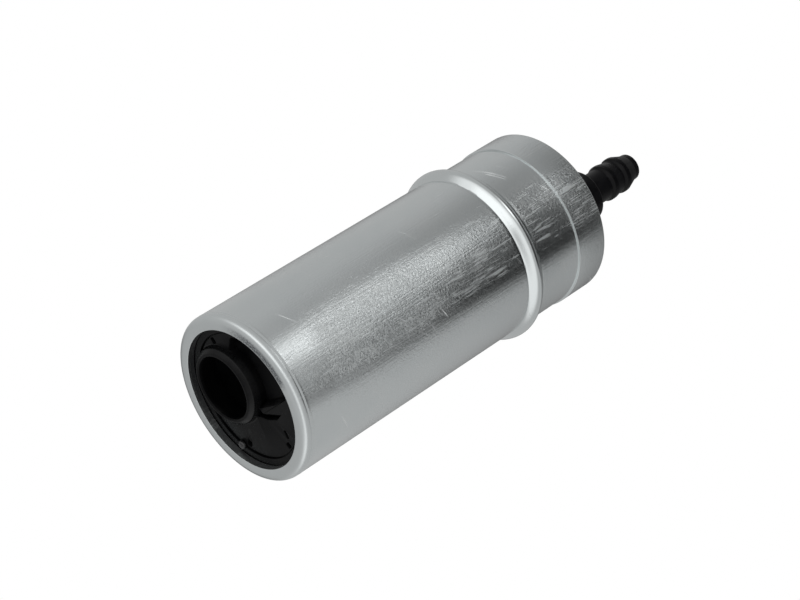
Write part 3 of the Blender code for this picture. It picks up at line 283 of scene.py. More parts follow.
def build_wear():
    """Dulled flecks and axial streaks of handled zinc: a mask, a height and a slow blotch."""
    inputs = [("Flecks", 0.5), ("Streaks", 0.5)]
    outputs = [("Mask", "NodeSocketFloat"), ("Height", "NodeSocketFloat"), ("Blotch", "NodeSocketFloat")]
    group, given, result = new_group("zinc_wear", inputs, outputs)
    place = object_position(group)
    blotch = noise(group, place, 110.0, 3.0, 0.6, 0.6)
    flecks = noise(group, place, 1700.0, 3.0, 0.75, 0.4)
    drift = remap(group, blotch, 0.32, 0.66, -0.20, 0.14)
    fleck_mask = above_share(group, flecks, math_node(group, "ADD", given["Flecks"], drift), 0.10)
    streaks = noise(group, stretched(group, place, (1.0, 1.0, 0.05)), 2500.0, 3.0, 0.7)
    groups = noise(group, stretched(group, place, (1.0, 1.0, 0.22)), 330.0, 3.0, 0.65)
    drift = remap(group, groups, 0.34, 0.64, -0.22, 0.28)
    streak_mask = above_share(group, streaks, math_node(group, "ADD", given["Streaks"], drift), 0.12)
    wire(group, result["Mask"], math_node(group, "MAXIMUM", fleck_mask, streak_mask))
    wire(group, result["Height"], math_node(group, "ADD", flecks, streaks))
    wire(group, result["Blotch"], blotch)
    return group


def build_scratches():
    """Mask of sparse hair scratches that run round the can at a slant."""
    group, given, result = new_group("hair_scratches", [("Scale", 900.0), ("Amount", 0.3)],
                                     [("Mask", "NodeSocketFloat")])
    unrolled = stretched(group, cylinder_position(group), (CAN_RADIUS, 0.0, 1.0))
    unrolled.node.inputs["Rotation"].default_value = (0.0, 0.42, 0.0)
    lines = stretched(group, unrolled, (0.05, 1.0, 1.0))
    thin = remap(group, noise(group, lines, given["Scale"], 1.0, 0.5), 0.66, 0.73)
    where = noise(group, object_position(group), 90.0, 2.0, 0.5)
    kept = remap(group, where, math_node(group, "SUBTRACT", 0.72, given["Amount"]), 0.75)
    wire(group, result["Mask"], math_node(group, "MULTIPLY", thin, kept))
    return group


def build_moulded_grain():
    """Height of a spark-eroded mould's fine texture."""
    group, given, result = new_group("moulded_grain", [("Scale", 6000.0)], [("Height", "NodeSocketFloat")])
    fine = noise(group, object_position(group), given["Scale"], 3.0, 0.6)
    wide = noise(group, object_position(group), math_node(group, "MULTIPLY", given["Scale"], 0.08), 2.0, 0.5)
    wire(group, result["Height"], math_node(group, "ADD", fine, wide))
    return group


def build_patina():
    """Slow variation over a surface, for small shifts of colour and gloss."""
    group, given, result = new_group("patina", [("Scale", 120.0)], [("Share", "NodeSocketFloat")])
    slow = noise(group, object_position(group), given["Scale"], 4.0, 0.6, 0.4)
    wire(group, result["Share"], remap(group, slow, 0.3, 0.7))
    return group


GRAIN = build_grain()
SCRATCHES = build_scratches()
WEAR = build_wear()
MOULDED_GRAIN = build_moulded_grain()
PATINA = build_patina()


def use_group(tree, group, output, **values):
    node = tree.nodes.new("ShaderNodeGroup")
    node.node_tree = group
    for label, value in values.items():
        wire(tree, node.inputs[label.capitalize()], value)
    return node.outputs[output]


def bump(tree, height, distance, normal=None):
    """Normal raised by a height in whole distances, on top of another normal if one is given."""
    node = tree.nodes.new("ShaderNodeBump")
    node.inputs["Distance"].default_value = distance
    node.inputs["Strength"].default_value = 1.0
    tree.links.new(height, node.inputs["Height"])
    if normal is not None:
        tree.links.new(normal, node.inputs["Normal"])
    return node.outputs["Normal"]


def new_material(name, metallic=0.0):
    material = bpy.data.materials.new(name)
    material.use_nodes = True
    shader = material.node_tree.nodes["Principled BSDF"]
    shader.inputs["Metallic"].default_value = metallic
    return material, material.node_tree, shader.inputs


# Materials

def profile_along_z(tree, stops):
    """Value that follows (height, value) stops up the can."""
    height = split(tree, object_position(tree))[2]
    value = stops[0][1]
    for (low, start), (high, end) in zip(stops, stops[1:]):
        step = remap(tree, height, low * MM, high * MM, 0.0, end - start)
        value = math_node(tree, "ADD", step, value)
    return value


def band(tree, value, stops):
    """Mask that rises between the first two stops and falls between the last two."""
    rise = remap(tree, value, stops[0], stops[1])
    return math_node(tree, "MULTIPLY", rise, remap(tree, value, stops[2], stops[3], 1.0, 0.0))


# Painted dark reflection on the inlet lip: where it starts, is full, and ends, in degrees round the lip and
# mm across it
PAINTED_REFLECTION_TURNS = (28, 62, 92, 102)
PAINTED_REFLECTION_RADII = (18.15, 18.3, 19.3, 20.5)


def lip_painted_reflection(tree):
    """Speckled dark strip painted along the inner edge of the inlet lip: a painted reflection of dark
    surroundings in its curled face.
    """
    turn_round, radius, height = split(tree, cylinder_position(tree))
    round_lip = band(tree, turn_round, [math.radians(turn) for turn in PAINTED_REFLECTION_TURNS])
    across_lip = band(tree, radius, [edge * MM for edge in PAINTED_REFLECTION_RADII])
    speckles = remap(tree, noise(tree, object_position(tree), 2400.0, 2.0, 0.6), 0.42, 0.66, 1.0, 0.35)
    strip = math_node(tree, "MULTIPLY", math_node(tree, "MULTIPLY", round_lip, across_lip), speckles)
    return math_node(tree, "MULTIPLY", strip, remap(tree, height, 0.3 * MM, 0.6 * MM, 1.0, 0.0))


# Wear of the can by height in mm, then the bead's, the wall's and the handled strip's edges in mm
FLECK_STOPS = ((3, 0.05), (9, 0.15), (17, 0.44), (42, 0.42), (56, 0.12), (70, -0.1))
STREAK_STOPS = ((4, 0.06), (40, 0.18), (56, 0.24), (74, 0.22), (84, 0.17), (99, 0.15))
LIP_STOPS = ((1.9, 0.6), (2.6, 0.25), (13, 0.10), (22, 0.0))
RELIEF_STOPS = ((1.8, 0.2), (2.6, 0.35), (9, 0.5), (17, 1.1), (40, 1.1), (58, 0.6), (93, 0.6), (98, 1.2))
BEAD_STOPS = (74.8, 76.0, 80.6, 81.8)
WALL_STOPS = (0.5, 2.0, 102.5, 103.0)
HANDLED_STOPS = (-9.6, -6.4, 3.5, 10.5)


def make_zinc():
    """Bright zinc plating on drawn steel, dulled by fine flecks, axial streaks and hair scratches, with a
    painted dark reflection along the inner edge of the inlet lip.
    """
    material, tree, shader = new_material("zinc_plating", 1.0)
    across, _, up = split(tree, object_position(tree))
    handled = band(tree, across, [x * MM for x in HANDLED_STOPS])
    unhandled = math_node(tree, "MULTIPLY_ADD", handled, 0.5, -0.5)
    flecks = profile_along_z(tree, FLECK_STOPS)
    bead = band(tree, up, [z * MM for z in BEAD_STOPS])
    streaks = math_node(tree, "SUBTRACT", profile_along_z(tree, STREAK_STOPS), bead)
    lip = profile_along_z(tree, LIP_STOPS)
    wear = tree.nodes.new("ShaderNodeGroup")
    wear.node_tree = WEAR
    wire(tree, wear.inputs["Flecks"], math_node(tree, "ADD", flecks, unhandled))
    wire(tree, wear.inputs["Streaks"], math_node(tree, "ADD", streaks, unhandled))
    mask, height, blotch = wear.outputs
    scratches = use_group(tree, SCRATCHES, "Mask", scale=1300.0, amount=0.22)
    wall = band(tree, up, [z * MM for z in WALL_STOPS])
    scratches = math_node(tree, "MULTIPLY", scratches, wall)
    colour = mix_colour(tree, blotch, (0.612, 0.650, 0.655, 1.0), (0.664, 0.690, 0.690, 1.0))
    colour = mix_colour(tree, math_node(tree, "MULTIPLY", scratches, 0.5), colour, (0.85, 0.85, 0.85, 1.0))
    # Painted dark reflection: a dark grey mixed into the colour along the inlet lip's inner edge
    colour = mix_colour(tree, lip_painted_reflection(tree), colour, (0.12, 0.13, 0.14, 1.0))
    wire(tree, shader["Base Color"], colour)
    dulled = math_node(tree, "MAXIMUM", math_node(tree, "MAXIMUM", mask, scratches), lip)
    wire(tree, shader["Roughness"], remap(tree, dulled, 0.0, 1.0, 0.16, 0.42))
    scattering = math_node(tree, "MAXIMUM", math_node(tree, "MULTIPLY", mask, 0.17),
                           math_node(tree, "MULTIPLY", scratches, 0.75))
    wire(tree, shader["Metallic"], math_node(tree, "SUBTRACT", 1.0, scattering))
    relief = profile_along_z(tree, RELIEF_STOPS)
    relief = math_node(tree, "MULTIPLY", relief, math_node(tree, "MULTIPLY_ADD", handled, 0.6, 0.4))
    relief = math_node(tree, "MULTIPLY", relief, math_node(tree, "MULTIPLY_ADD", bead, -0.8, 1.0))
    normal = bump(tree, math_node(tree, "MULTIPLY", height, relief), 0.11 * MM)
    wire(tree, shader["Normal"], bump(tree, scratches, 0.010 * MM, normal))
    return material


# Depth of a mould's or a tool's fine texture, and of one iron sheet's half height
FINE_RELIEF = 0.006 * MM
HALF_SHEET = 0.25 * MM


def make_plastic(name, dark, light, rough_low, rough_high, depth=FINE_RELIEF, gloss=0.5):
    """Moulded plastic: slow colour shift, gloss patches and a fine mould texture."""
    material, tree, shader = new_material(name)
    shader["Specular IOR Level"].default_value = gloss
    slow = use_group(tree, PATINA, "Share", scale=160.0)
    grain = use_group(tree, MOULDED_GRAIN, "Height", scale=5200.0)
    wire(tree, shader["Base Color"], mix_colour(tree, slow, dark, light))
    wire(tree, shader["Roughness"], remap(tree, slow, 0.0, 1.0, rough_low, rough_high))
    wire(tree, shader["Normal"], bump(tree, grain, depth))
    return material


def make_cover_plastic():
    """Black plastic of the inlet cover, polished round the tube's rim, with painted shade in the recess and
    the deep bore: a near-black colour there, with less gloss and more roughness.
    """
    material, tree, shader = new_material("moulded_black")
    slow = use_group(tree, PATINA, "Share", scale=160.0)
    grain = use_group(tree, MOULDED_GRAIN, "Height", scale=5200.0)
    x, y, height = split(tree, object_position(tree))
    away = [math_node(tree, "SUBTRACT", x, TUBE_CENTRE.x), math_node(tree, "SUBTRACT", y, TUBE_CENTRE.y)]
    squares = [math_node(tree, "MULTIPLY", side, side) for side in away]
    from_tube = math_node(tree, "SQRT", math_node(tree, "ADD", squares[0], squares[1]))
    # Painted shade: masks of the bore's deep wall and of the sunk recess floor away from the tube
    in_bore = remap(tree, from_tube, TUBE_BORE + 0.1 * MM, TUBE_BORE + 0.4 * MM, 1.0, 0.0)
    deep = remap(tree, height, TUBE_RIM + 0.2 * MM, TUBE_RIM + 1.4 * MM)
    bore = math_node(tree, "MULTIPLY", in_bore, deep)
    sunk = remap(tree, height, FLOOR_BASE + 0.5 * MM, FLOOR_BASE + 1.9 * MM)
    off_tube = remap(tree, from_tube, TUBE_RADIUS - 0.2 * MM, TUBE_RADIUS + 0.4 * MM)
    recess = math_node(tree, "MULTIPLY", sunk, off_tube)
    shade = math_node(tree, "MAXIMUM", math_node(tree, "MULTIPLY", bore, 0.8),
                      math_node(tree, "MULTIPLY", recess, 0.3))
    wall = (TUBE_BORE + 0.5 * MM, TUBE_BORE + 1.3 * MM, TUBE_RADIUS + 0.1 * MM, TUBE_RADIUS + 0.4 * MM)
    low = remap(tree, height, 2.2 * MM, 3.2 * MM, 1.0, 0.0)
    rim = math_node(tree, "MULTIPLY", band(tree, from_tube, wall), low)
    colour = mix_colour(tree, slow, (0.0022, 0.0023, 0.0028, 1.0), (0.0085, 0.0085, 0.0090, 1.0))
    # Near-black colour mixed in where the painted shade falls
    wire(tree, shader["Base Color"], mix_colour(tree, shade, colour, (0.0008, 0.0008, 0.0009, 1.0)))
    gloss = math_node(tree, "MULTIPLY_ADD", rim, 0.09, 0.065)
    shaded = remap(tree, shade, 0.0, 1.0, 1.0, 0.1)
    wire(tree, shader["Specular IOR Level"], math_node(tree, "MULTIPLY", gloss, shaded))
    roughness = remap(tree, slow, 0.0, 1.0, 0.26, 0.40)
    roughness = math_node(tree, "MULTIPLY_ADD", rim, -0.10, roughness)
    wire(tree, shader["Roughness"], math_node(tree, "MULTIPLY_ADD", shade, 0.4, roughness))
    wire(tree, shader["Normal"], bump(tree, grain, FINE_RELIEF))
    return material


def make_metal(name, dark, light, rough_low, rough_high, lines=False):
    """Bare metal with a slow colour shift, and either turned lines or a fine cast grain."""
    material, tree, shader = new_material(name, 1.0)
    slow = use_group(tree, PATINA, "Share", scale=180.0)
    if lines:
        height = noise(tree, stretched(tree, cylinder_position(tree), (2.0, 9000.0, 9000.0)), 1.0, 3.0)
    else:
        height = use_group(tree, GRAIN, "Height", scale=3000.0)
    wire(tree, shader["Base Color"], mix_colour(tree, slow, dark, light))
    wire(tree, shader["Roughness"], remap(tree, slow, 0.0, 1.0, rough_low, rough_high))
    wire(tree, shader["Normal"], bump(tree, height, FINE_RELIEF))
    return material


def make_winding():
    """Enamelled copper turns: fine ridges across the bundles."""
    material, tree, shader = new_material("enamelled_copper", 1.0)
    waves = tree.nodes.new("ShaderNodeTexWave")
    tree.links.new(cylinder_position(tree), waves.inputs["Vector"])
    waves.inputs["Scale"].default_value = 14.0
    waves.inputs["Distortion"].default_value = 1.5
    slow = use_group(tree, PATINA, "Share", scale=140.0)
    colour = mix_colour(tree, slow, (0.45, 0.14, 0.05, 1.0), (0.62, 0.24, 0.10, 1.0))
    wire(tree, shader["Base Color"], colour)
    wire(tree, shader["Roughness"], remap(tree, slow, 0.0, 1.0, 0.24, 0.36))
    wire(tree, shader["Normal"], bump(tree, waves.outputs["Fac"], 0.05 * MM))
    return material


def make_laminations():
    """Edges of stacked iron sheets."""
    material, tree, shader = new_material("stacked_sheet", 1.0)
    height = split(tree, object_position(tree))[2]
    sheets = math_node(tree, "PINGPONG", height, HALF_SHEET)
    sheets = math_node(tree, "DIVIDE", sheets, HALF_SHEET)
    slow = use_group(tree, PATINA, "Share", scale=160.0)
    colour = mix_colour(tree, slow, (0.20, 0.20, 0.21, 1.0), (0.34, 0.33, 0.32, 1.0))
    wire(tree, shader["Base Color"], colour)
    wire(tree, shader["Roughness"], remap(tree, slow, 0.0, 1.0, 0.36, 0.5))
    wire(tree, shader["Normal"], bump(tree, sheets, 0.03 * MM))
    return material


ZINC = make_zinc()
COVER_PLASTIC = make_cover_plastic()
# Lighter copy of the cover's black plastic: a painted highlight that makes the stud show as a bright spot,
# with more gloss as well
STUD_PLASTIC_PAINTED_HIGHLIGHT = make_plastic("moulded_black_stud_painted_highlight", (0.008, 0.008, 0.009, 1), (0.014, 0.014, 0.015, 1),
                            0.22, 0.30, gloss=0.6)
BARB_PLASTIC = make_plastic("moulded_black_outlet", (0.0012, 0.0012, 0.0015, 1), (0.0034, 0.0034, 0.0040, 1),
                            0.26, 0.36, gloss=0.13)
RUBBER = make_plastic("seal_rubber", (0.012, 0.012, 0.012, 1), (0.024, 0.023, 0.022, 1),
                      0.62, 0.8, 0.01 * MM)
PHENOLIC = make_plastic("brown_phenolic", (0.075, 0.040, 0.022, 1), (0.13, 0.072, 0.042, 1), 0.40, 0.52)
WASHER = make_plastic("washer_nylon", (0.62, 0.60, 0.53, 1), (0.76, 0.74, 0.68, 1), 0.42, 0.55)
FERRITE = make_plastic("ferrite", (0.030, 0.030, 0.033, 1), (0.062, 0.060, 0.060, 1), 0.58, 0.75, 0.015 * MM)
CARBON = make_plastic("brush_carbon", (0.020, 0.020, 0.021, 1), (0.045, 0.044, 0.044, 1),
                      0.5, 0.66, 0.012 * MM)
CAST_PLATE = make_metal("die_cast_plate", (0.34, 0.35, 0.36, 1), (0.50, 0.51, 0.52, 1),
                        0.34, 0.46, lines=True)
BRONZE = make_metal("sintered_bronze", (0.36, 0.22, 0.10, 1), (0.50, 0.33, 0.17, 1), 0.40, 0.52)
STEEL = make_metal("ground_steel", (0.40, 0.41, 0.43, 1), (0.54, 0.55, 0.56, 1), 0.20, 0.30, lines=True)
COPPER = make_metal("bar_copper", (0.58, 0.24, 0.11, 1), (0.76, 0.36, 0.19, 1), 0.24, 0.36, lines=True)
TINNED = make_metal("tinned_brass", (0.55, 0.54, 0.49, 1), (0.72, 0.70, 0.64, 1), 0.24, 0.34)
BRASS = make_metal("turned_brass", (0.52, 0.38, 0.15, 1), (0.68, 0.52, 0.25, 1), 0.24, 0.34, lines=True)
WINDING = make_winding()
LAMINATIONS = make_laminations()

NODE_FINISHES = {
    "inlet_seal": RUBBER, "outlet_seal": RUBBER, "check_poppet": RUBBER,
    "suction_plate": CAST_PLATE, "pump_ring": CAST_PLATE, "pressure_plate": CAST_PLATE,
    "thrust_disc": STEEL, "armature_shaft": STEEL, "magnet_clip_a": STEEL, "magnet_clip_b": STEEL,
    "relief_ball": STEEL, "impeller": PHENOLIC, "commutator_hub": PHENOLIC,
    "lower_bush": BRONZE, "upper_bush": BRONZE, "spacer_ring": BARB_PLASTIC,
    "magnet_a": FERRITE, "magnet_b": FERRITE, "lower_washer": WASHER, "upper_washer": WASHER,
    "lamination_stack": LAMINATIONS, "armature_winding": WINDING, "commutator": COPPER,
    "brush_a": CARBON, "brush_b": CARBON, "choke_positive": WINDING, "choke_negative": WINDING,
    "check_seat": BRASS, "relief_plug": BRASS,
}


def dress_nodes():
    for name, material in NODE_FINISHES.items():
        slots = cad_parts[name].data.materials
        slots.clear()
        slots.append(material)


# Modelling helpers

def rounded(corners, count=5):
    """Closed outline of (radius, height, fillet) corners, with each fillet as a short arc."""
    points = []
    total = len(corners)
    for i, (r, z, fillet) in enumerate(corners):
        here = Vector((r, z))
        before = Vector(corners[i - 1][:2]) - here
        after = Vector(corners[(i + 1) % total][:2]) - here
        if fillet <= 0.0 or before.length == 0.0 or after.length == 0.0:
            points.append(here)
            continue
        half = before.angle(after) / 2
        reach = min(fillet / math.tan(half), before.length * 0.49, after.length * 0.49)
        start = here + before.normalized() * reach
        end = here + after.normalized() * reach
        for step in range(count + 1):
            share = step / count
            low = start.lerp(here, share)
            high = here.lerp(end, share)
            points.append(low.lerp(high, share))
    return [(p.x, p.y) for p in points]


def spun(outline, steps, centre=Vector()):
    """Solid turned from an outline of (radius, height) points about an upright line."""
    shape = bmesh.new()
    corners = [shape.verts.new((centre.x + r, centre.y, z)) for r, z in outline]
    edges = []
    for i, corner in enumerate(corners):
        on_axis = outline[i - 1][0] == 0.0 and outline[i][0] == 0.0
        if not on_axis:
            edges.append(shape.edges.new((corners[i - 1], corner)))
    bmesh.ops.spin(shape, geom=corners + edges, cent=centre, axis=(0, 0, 1), angle=math.tau,
                   steps=steps, use_merge=True)
    return shape


def prism(levels):
    """Solid through plan outlines at rising heights, each a (list of (x, y), height) pair."""
    shape = bmesh.new()
    loops = []
    for plan, height in levels:
        corners = [shape.verts.new((x, y, height)) for x, y in plan]
        loops.append((corners, [shape.edges.new((corners[i - 1], corners[i])) for i in range(len(corners))]))
    for lower, upper in zip(loops, loops[1:]):
        bmesh.ops.bridge_loops(shape, edges=lower[1] + upper[1])
    shape.faces.new(loops[0][0])
    shape.faces.new(loops[-1][0])
    return shape


def spread(plan, distance):
    """Plan outline moved outwards by a distance; the outline runs anticlockwise."""
    moved = []
    for i, point in enumerate(plan):
        here = Vector(point)
        along = (Vector(plan[(i + 1) % len(plan)]) - Vector(plan[i - 1])).normalized()
        moved.append(tuple(here + Vector((along.y, -along.x)) * distance))
    return moved


def turned_plan(plan, centre, turn):
    """Plan outline turned about its own zero, then moved to a centre."""
    spin = Matrix.Rotation(turn, 2)
    return [tuple(spin @ Vector(point) + Vector(centre[:2])) for point in plan]


def oblong(length, width, corner):
    half_x, half_y = length / 2, width / 2
    return rounded([(-half_x, -half_y, corner), (half_x, -half_y, corner),
                    (half_x, half_y, corner), (-half_x, half_y, corner)], 4)


def pocket(plan, surface, floor, edge):
    """Cutter of a pocket in a downward face, with its mouth's edge rounded off."""
    levels = [(spread(plan, edge), surface - edge), (spread(plan, edge), surface)]
    levels += [(spread(plan, edge * 0.3), surface + edge * 0.3), (plan, surface + edge), (plan, floor)]
    return prism(levels)


def polar(radius, azimuth):
    turn = math.radians(azimuth)
    return Vector((radius * math.cos(turn), radius * math.sin(turn)))


def put(name, data):
    """Object of a mesh, curve, camera or light, in the scene."""
    item = bpy.data.objects.new(name, data)
    bpy.context.scene.collection.objects.link(item)
    return item


def put_shape(name, shape):
    """Object of a bmesh, which is used up."""
    mesh = bpy.data.meshes.new(name)
    shape.to_mesh(mesh)
    shape.free()
    return put(name, mesh)


def finished(name, shape, material=None):
    """Object of a bmesh, with outward faces and its sharp edges kept."""
    bmesh.ops.remove_doubles(shape, verts=shape.verts[:], dist=0.0005 * MM)
    bmesh.ops.recalc_face_normals(shape, faces=shape.faces[:])
    piece = put_shape(name, shape)
    piece.data.shade_smooth()
    piece.data.set_sharp_from_angle(angle=SHARP_ANGLE)
    if material:
        piece.data.materials.append(material)
    return piece


def carved(piece, steps):
    """Join or cut a piece with a list of (operation, solid) steps, and keep the result as its mesh."""
    tools = []
    for operation, shape in steps:
        tool = finished("tool", shape)
        boolean = piece.modifiers.new("step", "BOOLEAN")
        boolean.operation = operation
        boolean.solver = "MANIFOLD"
        boolean.object = tool
        tools.append(tool)
    graph = bpy.context.evaluated_depsgraph_get()
    mesh = bpy.data.meshes.new_from_object(piece.evaluated_get(graph))
    piece.modifiers.clear()
    piece.data = mesh
    mesh.shade_smooth()
    mesh.set_sharp_from_angle(angle=SHARP_ANGLE)
    for tool in tools:
        bpy.data.objects.remove(tool)
    return piece


def stands_for(piece, node):
    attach(piece, "pump")
    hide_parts(node)


# The pump's own pieces

def make_can():
    """Can with rolled lips, a small crimp ridge, the rolled bead and the stepped collar."""
    collar = CAN_RADIUS + COLLAR_RISE
    step = CAN_TOP - COLLAR_LENGTH
    corners = [(LIP_RADIUS, LIP_DEPTH, 0.2 * MM), (LIP_RADIUS, 0.0, 0.10 * MM)]
    for i in range(LIP_POINTS + 1):
        share = i / LIP_POINTS
        corners.append((CAN_RADIUS - LIP_TURN * (1 - share) ** 2, LIP_TURN * share ** 2, 0.0))
    corners += [(CAN_RADIUS - 0.06 * MM, CRIMP_BASE, 0.1 * MM)]
    corners += [(CAN_RADIUS + 0.03 * MM, CRIMP_BASE + 0.5 * MM, 0.2 * MM)]
    corners += [(CAN_RADIUS, CRIMP_BASE + 1.0 * MM, 0.2 * MM)]
    bead_edge = BEAD_HALF_WIDTH + 0.2 * MM
    corners += [(CAN_RADIUS, BEAD_CENTRE - bead_edge, 0.0)]
    for i in range(BEAD_POINTS + 1):
        share = i / BEAD_POINTS
        height = BEAD_CENTRE + (share * 2 - 1) * BEAD_HALF_WIDTH
        corners.append((CAN_RADIUS + BEAD_HEIGHT * math.sin(math.pi * share) ** 1.15, height, 0.0))
    corners += [(CAN_RADIUS, BEAD_CENTRE + bead_edge, 0.0), (CAN_RADIUS, step, 0.05 * MM)]
    corners += [(collar, step + 0.03 * MM, 0.07 * MM), (collar, CAN_TOP, 0.6 * MM)]
    corners += [(OUTLET_LIP_RADIUS, CAN_TOP, 0.3 * MM)]
    corners += [(OUTLET_LIP_RADIUS, CAN_TOP - OUTLET_LIP_DEPTH, 0.2 * MM)]
    corners += [(CAN_BORE, CAN_TOP - OUTLET_LIP_DEPTH, 0.0), (CAN_BORE, LIP_DEPTH, 0.0)]
    stands_for(finished("can_shell", spun(rounded(corners), WIDE_STEPS), ZINC), "pump_can")


def seal_groove(middle, downwards):
    """Corners of the round seal's groove in the outer side of a cover."""
    reach = SEAL_HALF_WIDTH if downwards else -SEAL_HALF_WIDTH
    return [(COVER_RADIUS, middle + reach, 0.15 * MM), (SEAL_FLOOR, middle + reach, 0.3 * MM),
            (SEAL_FLOOR, middle - reach, 0.3 * MM), (COVER_RADIUS, middle - reach, 0.15 * MM)]


def inlet_recess():
    """Plan of the recess beside the suction tube, and of the wedge-shaped rib across its end."""
    plan = [(x * MM, y * MM, fillet * MM) for x, y, fillet in RECESS_START]
    plan += [(*polar(RECESS_RADIUS, azimuth), 0.0) for azimuth in range(116, 30, -4)]
    plan += [(*polar(RECESS_RADIUS, 26), 1.4 * MM), (10.6 * MM, 2.6 * MM, 0.3 * MM)]
    plan += [(2.0 * MM, -3.0 * MM, 0.0)]
    rib = [(x * MM, y * MM, fillet * MM) for x, y, fillet in RIB_CORNERS]
    return rounded(plan)[::-1], rounded(rib)[::-1]


def make_inlet_cover():
    """Ring under the lip, sunk floor with its recess and marks, and the off-centre suction tube."""
    corners = [(0.0, FLOOR_BASE, 0.0), (GROOVE_RADIUS, FLOOR_BASE, 0.15 * MM)]
    corners += [(GROOVE_RADIUS, RING_BASE + GROOVE_DEPTH, 0.0), (RING_RADIUS, RING_BASE + GROOVE_DEPTH, 0.0)]
    corners += [(RING_RADIUS, RING_BASE, 0.15 * MM), (COVER_RADIUS, RING_BASE, 0.2 * MM)]
    corners += seal_groove(COVER_SEAL, False)
    corners += [(COVER_RADIUS, COVER_TOP, 0.2 * MM), (PLENUM_RADIUS, COVER_TOP, 0.2 * MM)]
    corners += [(PLENUM_RADIUS, FLOOR_TOP, 0.4 * MM), (0.0, FLOOR_TOP, 0.0)]
    cover = finished("inlet_cover_shell", spun(rounded(corners), WIDE_STEPS), COVER_PLASTIC)

    recess, rib = inlet_recess()
    steps = [("DIFFERENCE", pocket(recess, FLOOR_BASE, RECESS_TOP, 0.45 * MM))]
    levels = ((-0.4 * MM, FLOOR_BASE + 0.12 * MM), (-0.1 * MM, FLOOR_BASE + 0.4 * MM),
              (0.3 * MM, FLOOR_BASE + 1.0 * MM), (0.6 * MM, RECESS_TOP + 0.3 * MM))
    steps.append(("UNION", prism([(spread(rib, width), height) for width, height in levels])))
    flare = TUBE_RADIUS + 0.2 * MM
    root = FLOOR_TOP - 0.4 * MM
    tube = [(0.0, TUBE_RIM, 0.0), (TUBE_RADIUS - 1.3 * MM, TUBE_RIM, 0.5 * MM)]
    tube += [(TUBE_RADIUS - 0.3 * MM, TUBE_RIM + 0.9 * MM, 0.6 * MM)]
    tube += [(flare, FLOOR_BASE + 0.5 * MM, 0.5 * MM), (flare, root, 0.0), (0.0, root, 0.0)]
    steps.append(("UNION", spun(rounded(tube), SMALL_STEPS, TUBE_CENTRE)))
    mouth = TUBE_BORE + 1.2 * MM
    bore = [(0.0, TUBE_RIM - 0.5 * MM, 0.0), (mouth, TUBE_RIM - 0.5 * MM, 0.0)]
    bore += [(mouth, TUBE_RIM - 0.05 * MM, 0.0)]
    bore += [(TUBE_BORE, TUBE_RIM - 0.05 * MM, 0.9 * MM), (TUBE_BORE, FLOOR_TOP + 0.5 * MM, 0.0)]
    bore += [(0.0, FLOOR_TOP + 0.5 * MM, 0.0)]
    steps.append(("DIFFERENCE", spun(rounded(bore), SMALL_STEPS, TUBE_CENTRE)))
    for length, width, radius, azimuth, turn in FLOOR_MARKS:
        plan = oblong(length * MM, width * MM, 0.34 * MM)
        plan = turned_plan(plan, polar(radius * MM, azimuth), math.radians(turn))
        steps.append(("DIFFERENCE", pocket(plan, FLOOR_BASE, FLOOR_BASE + MARK_DEPTH, 0.08 * MM)))
    stands_for(carved(cover, steps), "inlet_cover")


def make_stud():
    """Small domed stud on the inlet cover's ring."""
    turn = math.radians(STUD_AZIMUTH)
    plan = turned_plan(oblong(*STUD_PLAN), polar(STUD_RADIUS, STUD_AZIMUTH), turn)
    levels = [(spread(plan, width * MM), RING_BASE - drop * MM)
              for width, drop in ((-0.6, 0.75), (-0.25, 0.6), (-0.05, 0.3))]
    levels.append((plan, RING_BASE + 0.1 * MM))
    piece = finished("cover_stud", prism(levels), STUD_PLASTIC_PAINTED_HIGHLIGHT)
    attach(piece, "pump")


def barb_outline():
    """Outside of the valve boss, flared neck, two round ribs and tapered tip, tip first."""
    corners = [(0.0, BARB_TIP, 0.0), (BARB_TIP_RADIUS, BARB_TIP, 0.45 * MM)]
    corners += [(BARB_TIP_RADIUS + 0.1 * MM, BARB_TIP - 1.6 * MM, 1.0 * MM)]
    for low in (BARB_FIRST + BARB_PITCH, BARB_FIRST):
        corners += [(BARB_CREST, low + 0.8 * MM, 1.1 * MM), (BARB_CREST, low - 0.4 * MM, 0.6 * MM)]
        corners += [(BARB_NECK - 0.05 * MM, low - 1.0 * MM, 0.6 * MM)]
    corners += [(BARB_NECK, BOSS_TOP, 2.2 * MM), (BOSS_RADIUS, BOSS_TOP, 0.7 * MM)]
    corners += [(BOSS_RADIUS, DECK_TOP, 1.1 * MM), (BOSS_RADIUS + 1.6 * MM, DECK_TOP + 0.02 * MM, 0.0)]
    corners += [(BOSS_RADIUS + 0.2 * MM, DECK_TOP - 1.2 * MM, 0.0), (BOSS_RADIUS, CHAMBER_BASE, 0.0)]
    return rounded(corners + [(0.0, CHAMBER_BASE, 0.0)], 6)


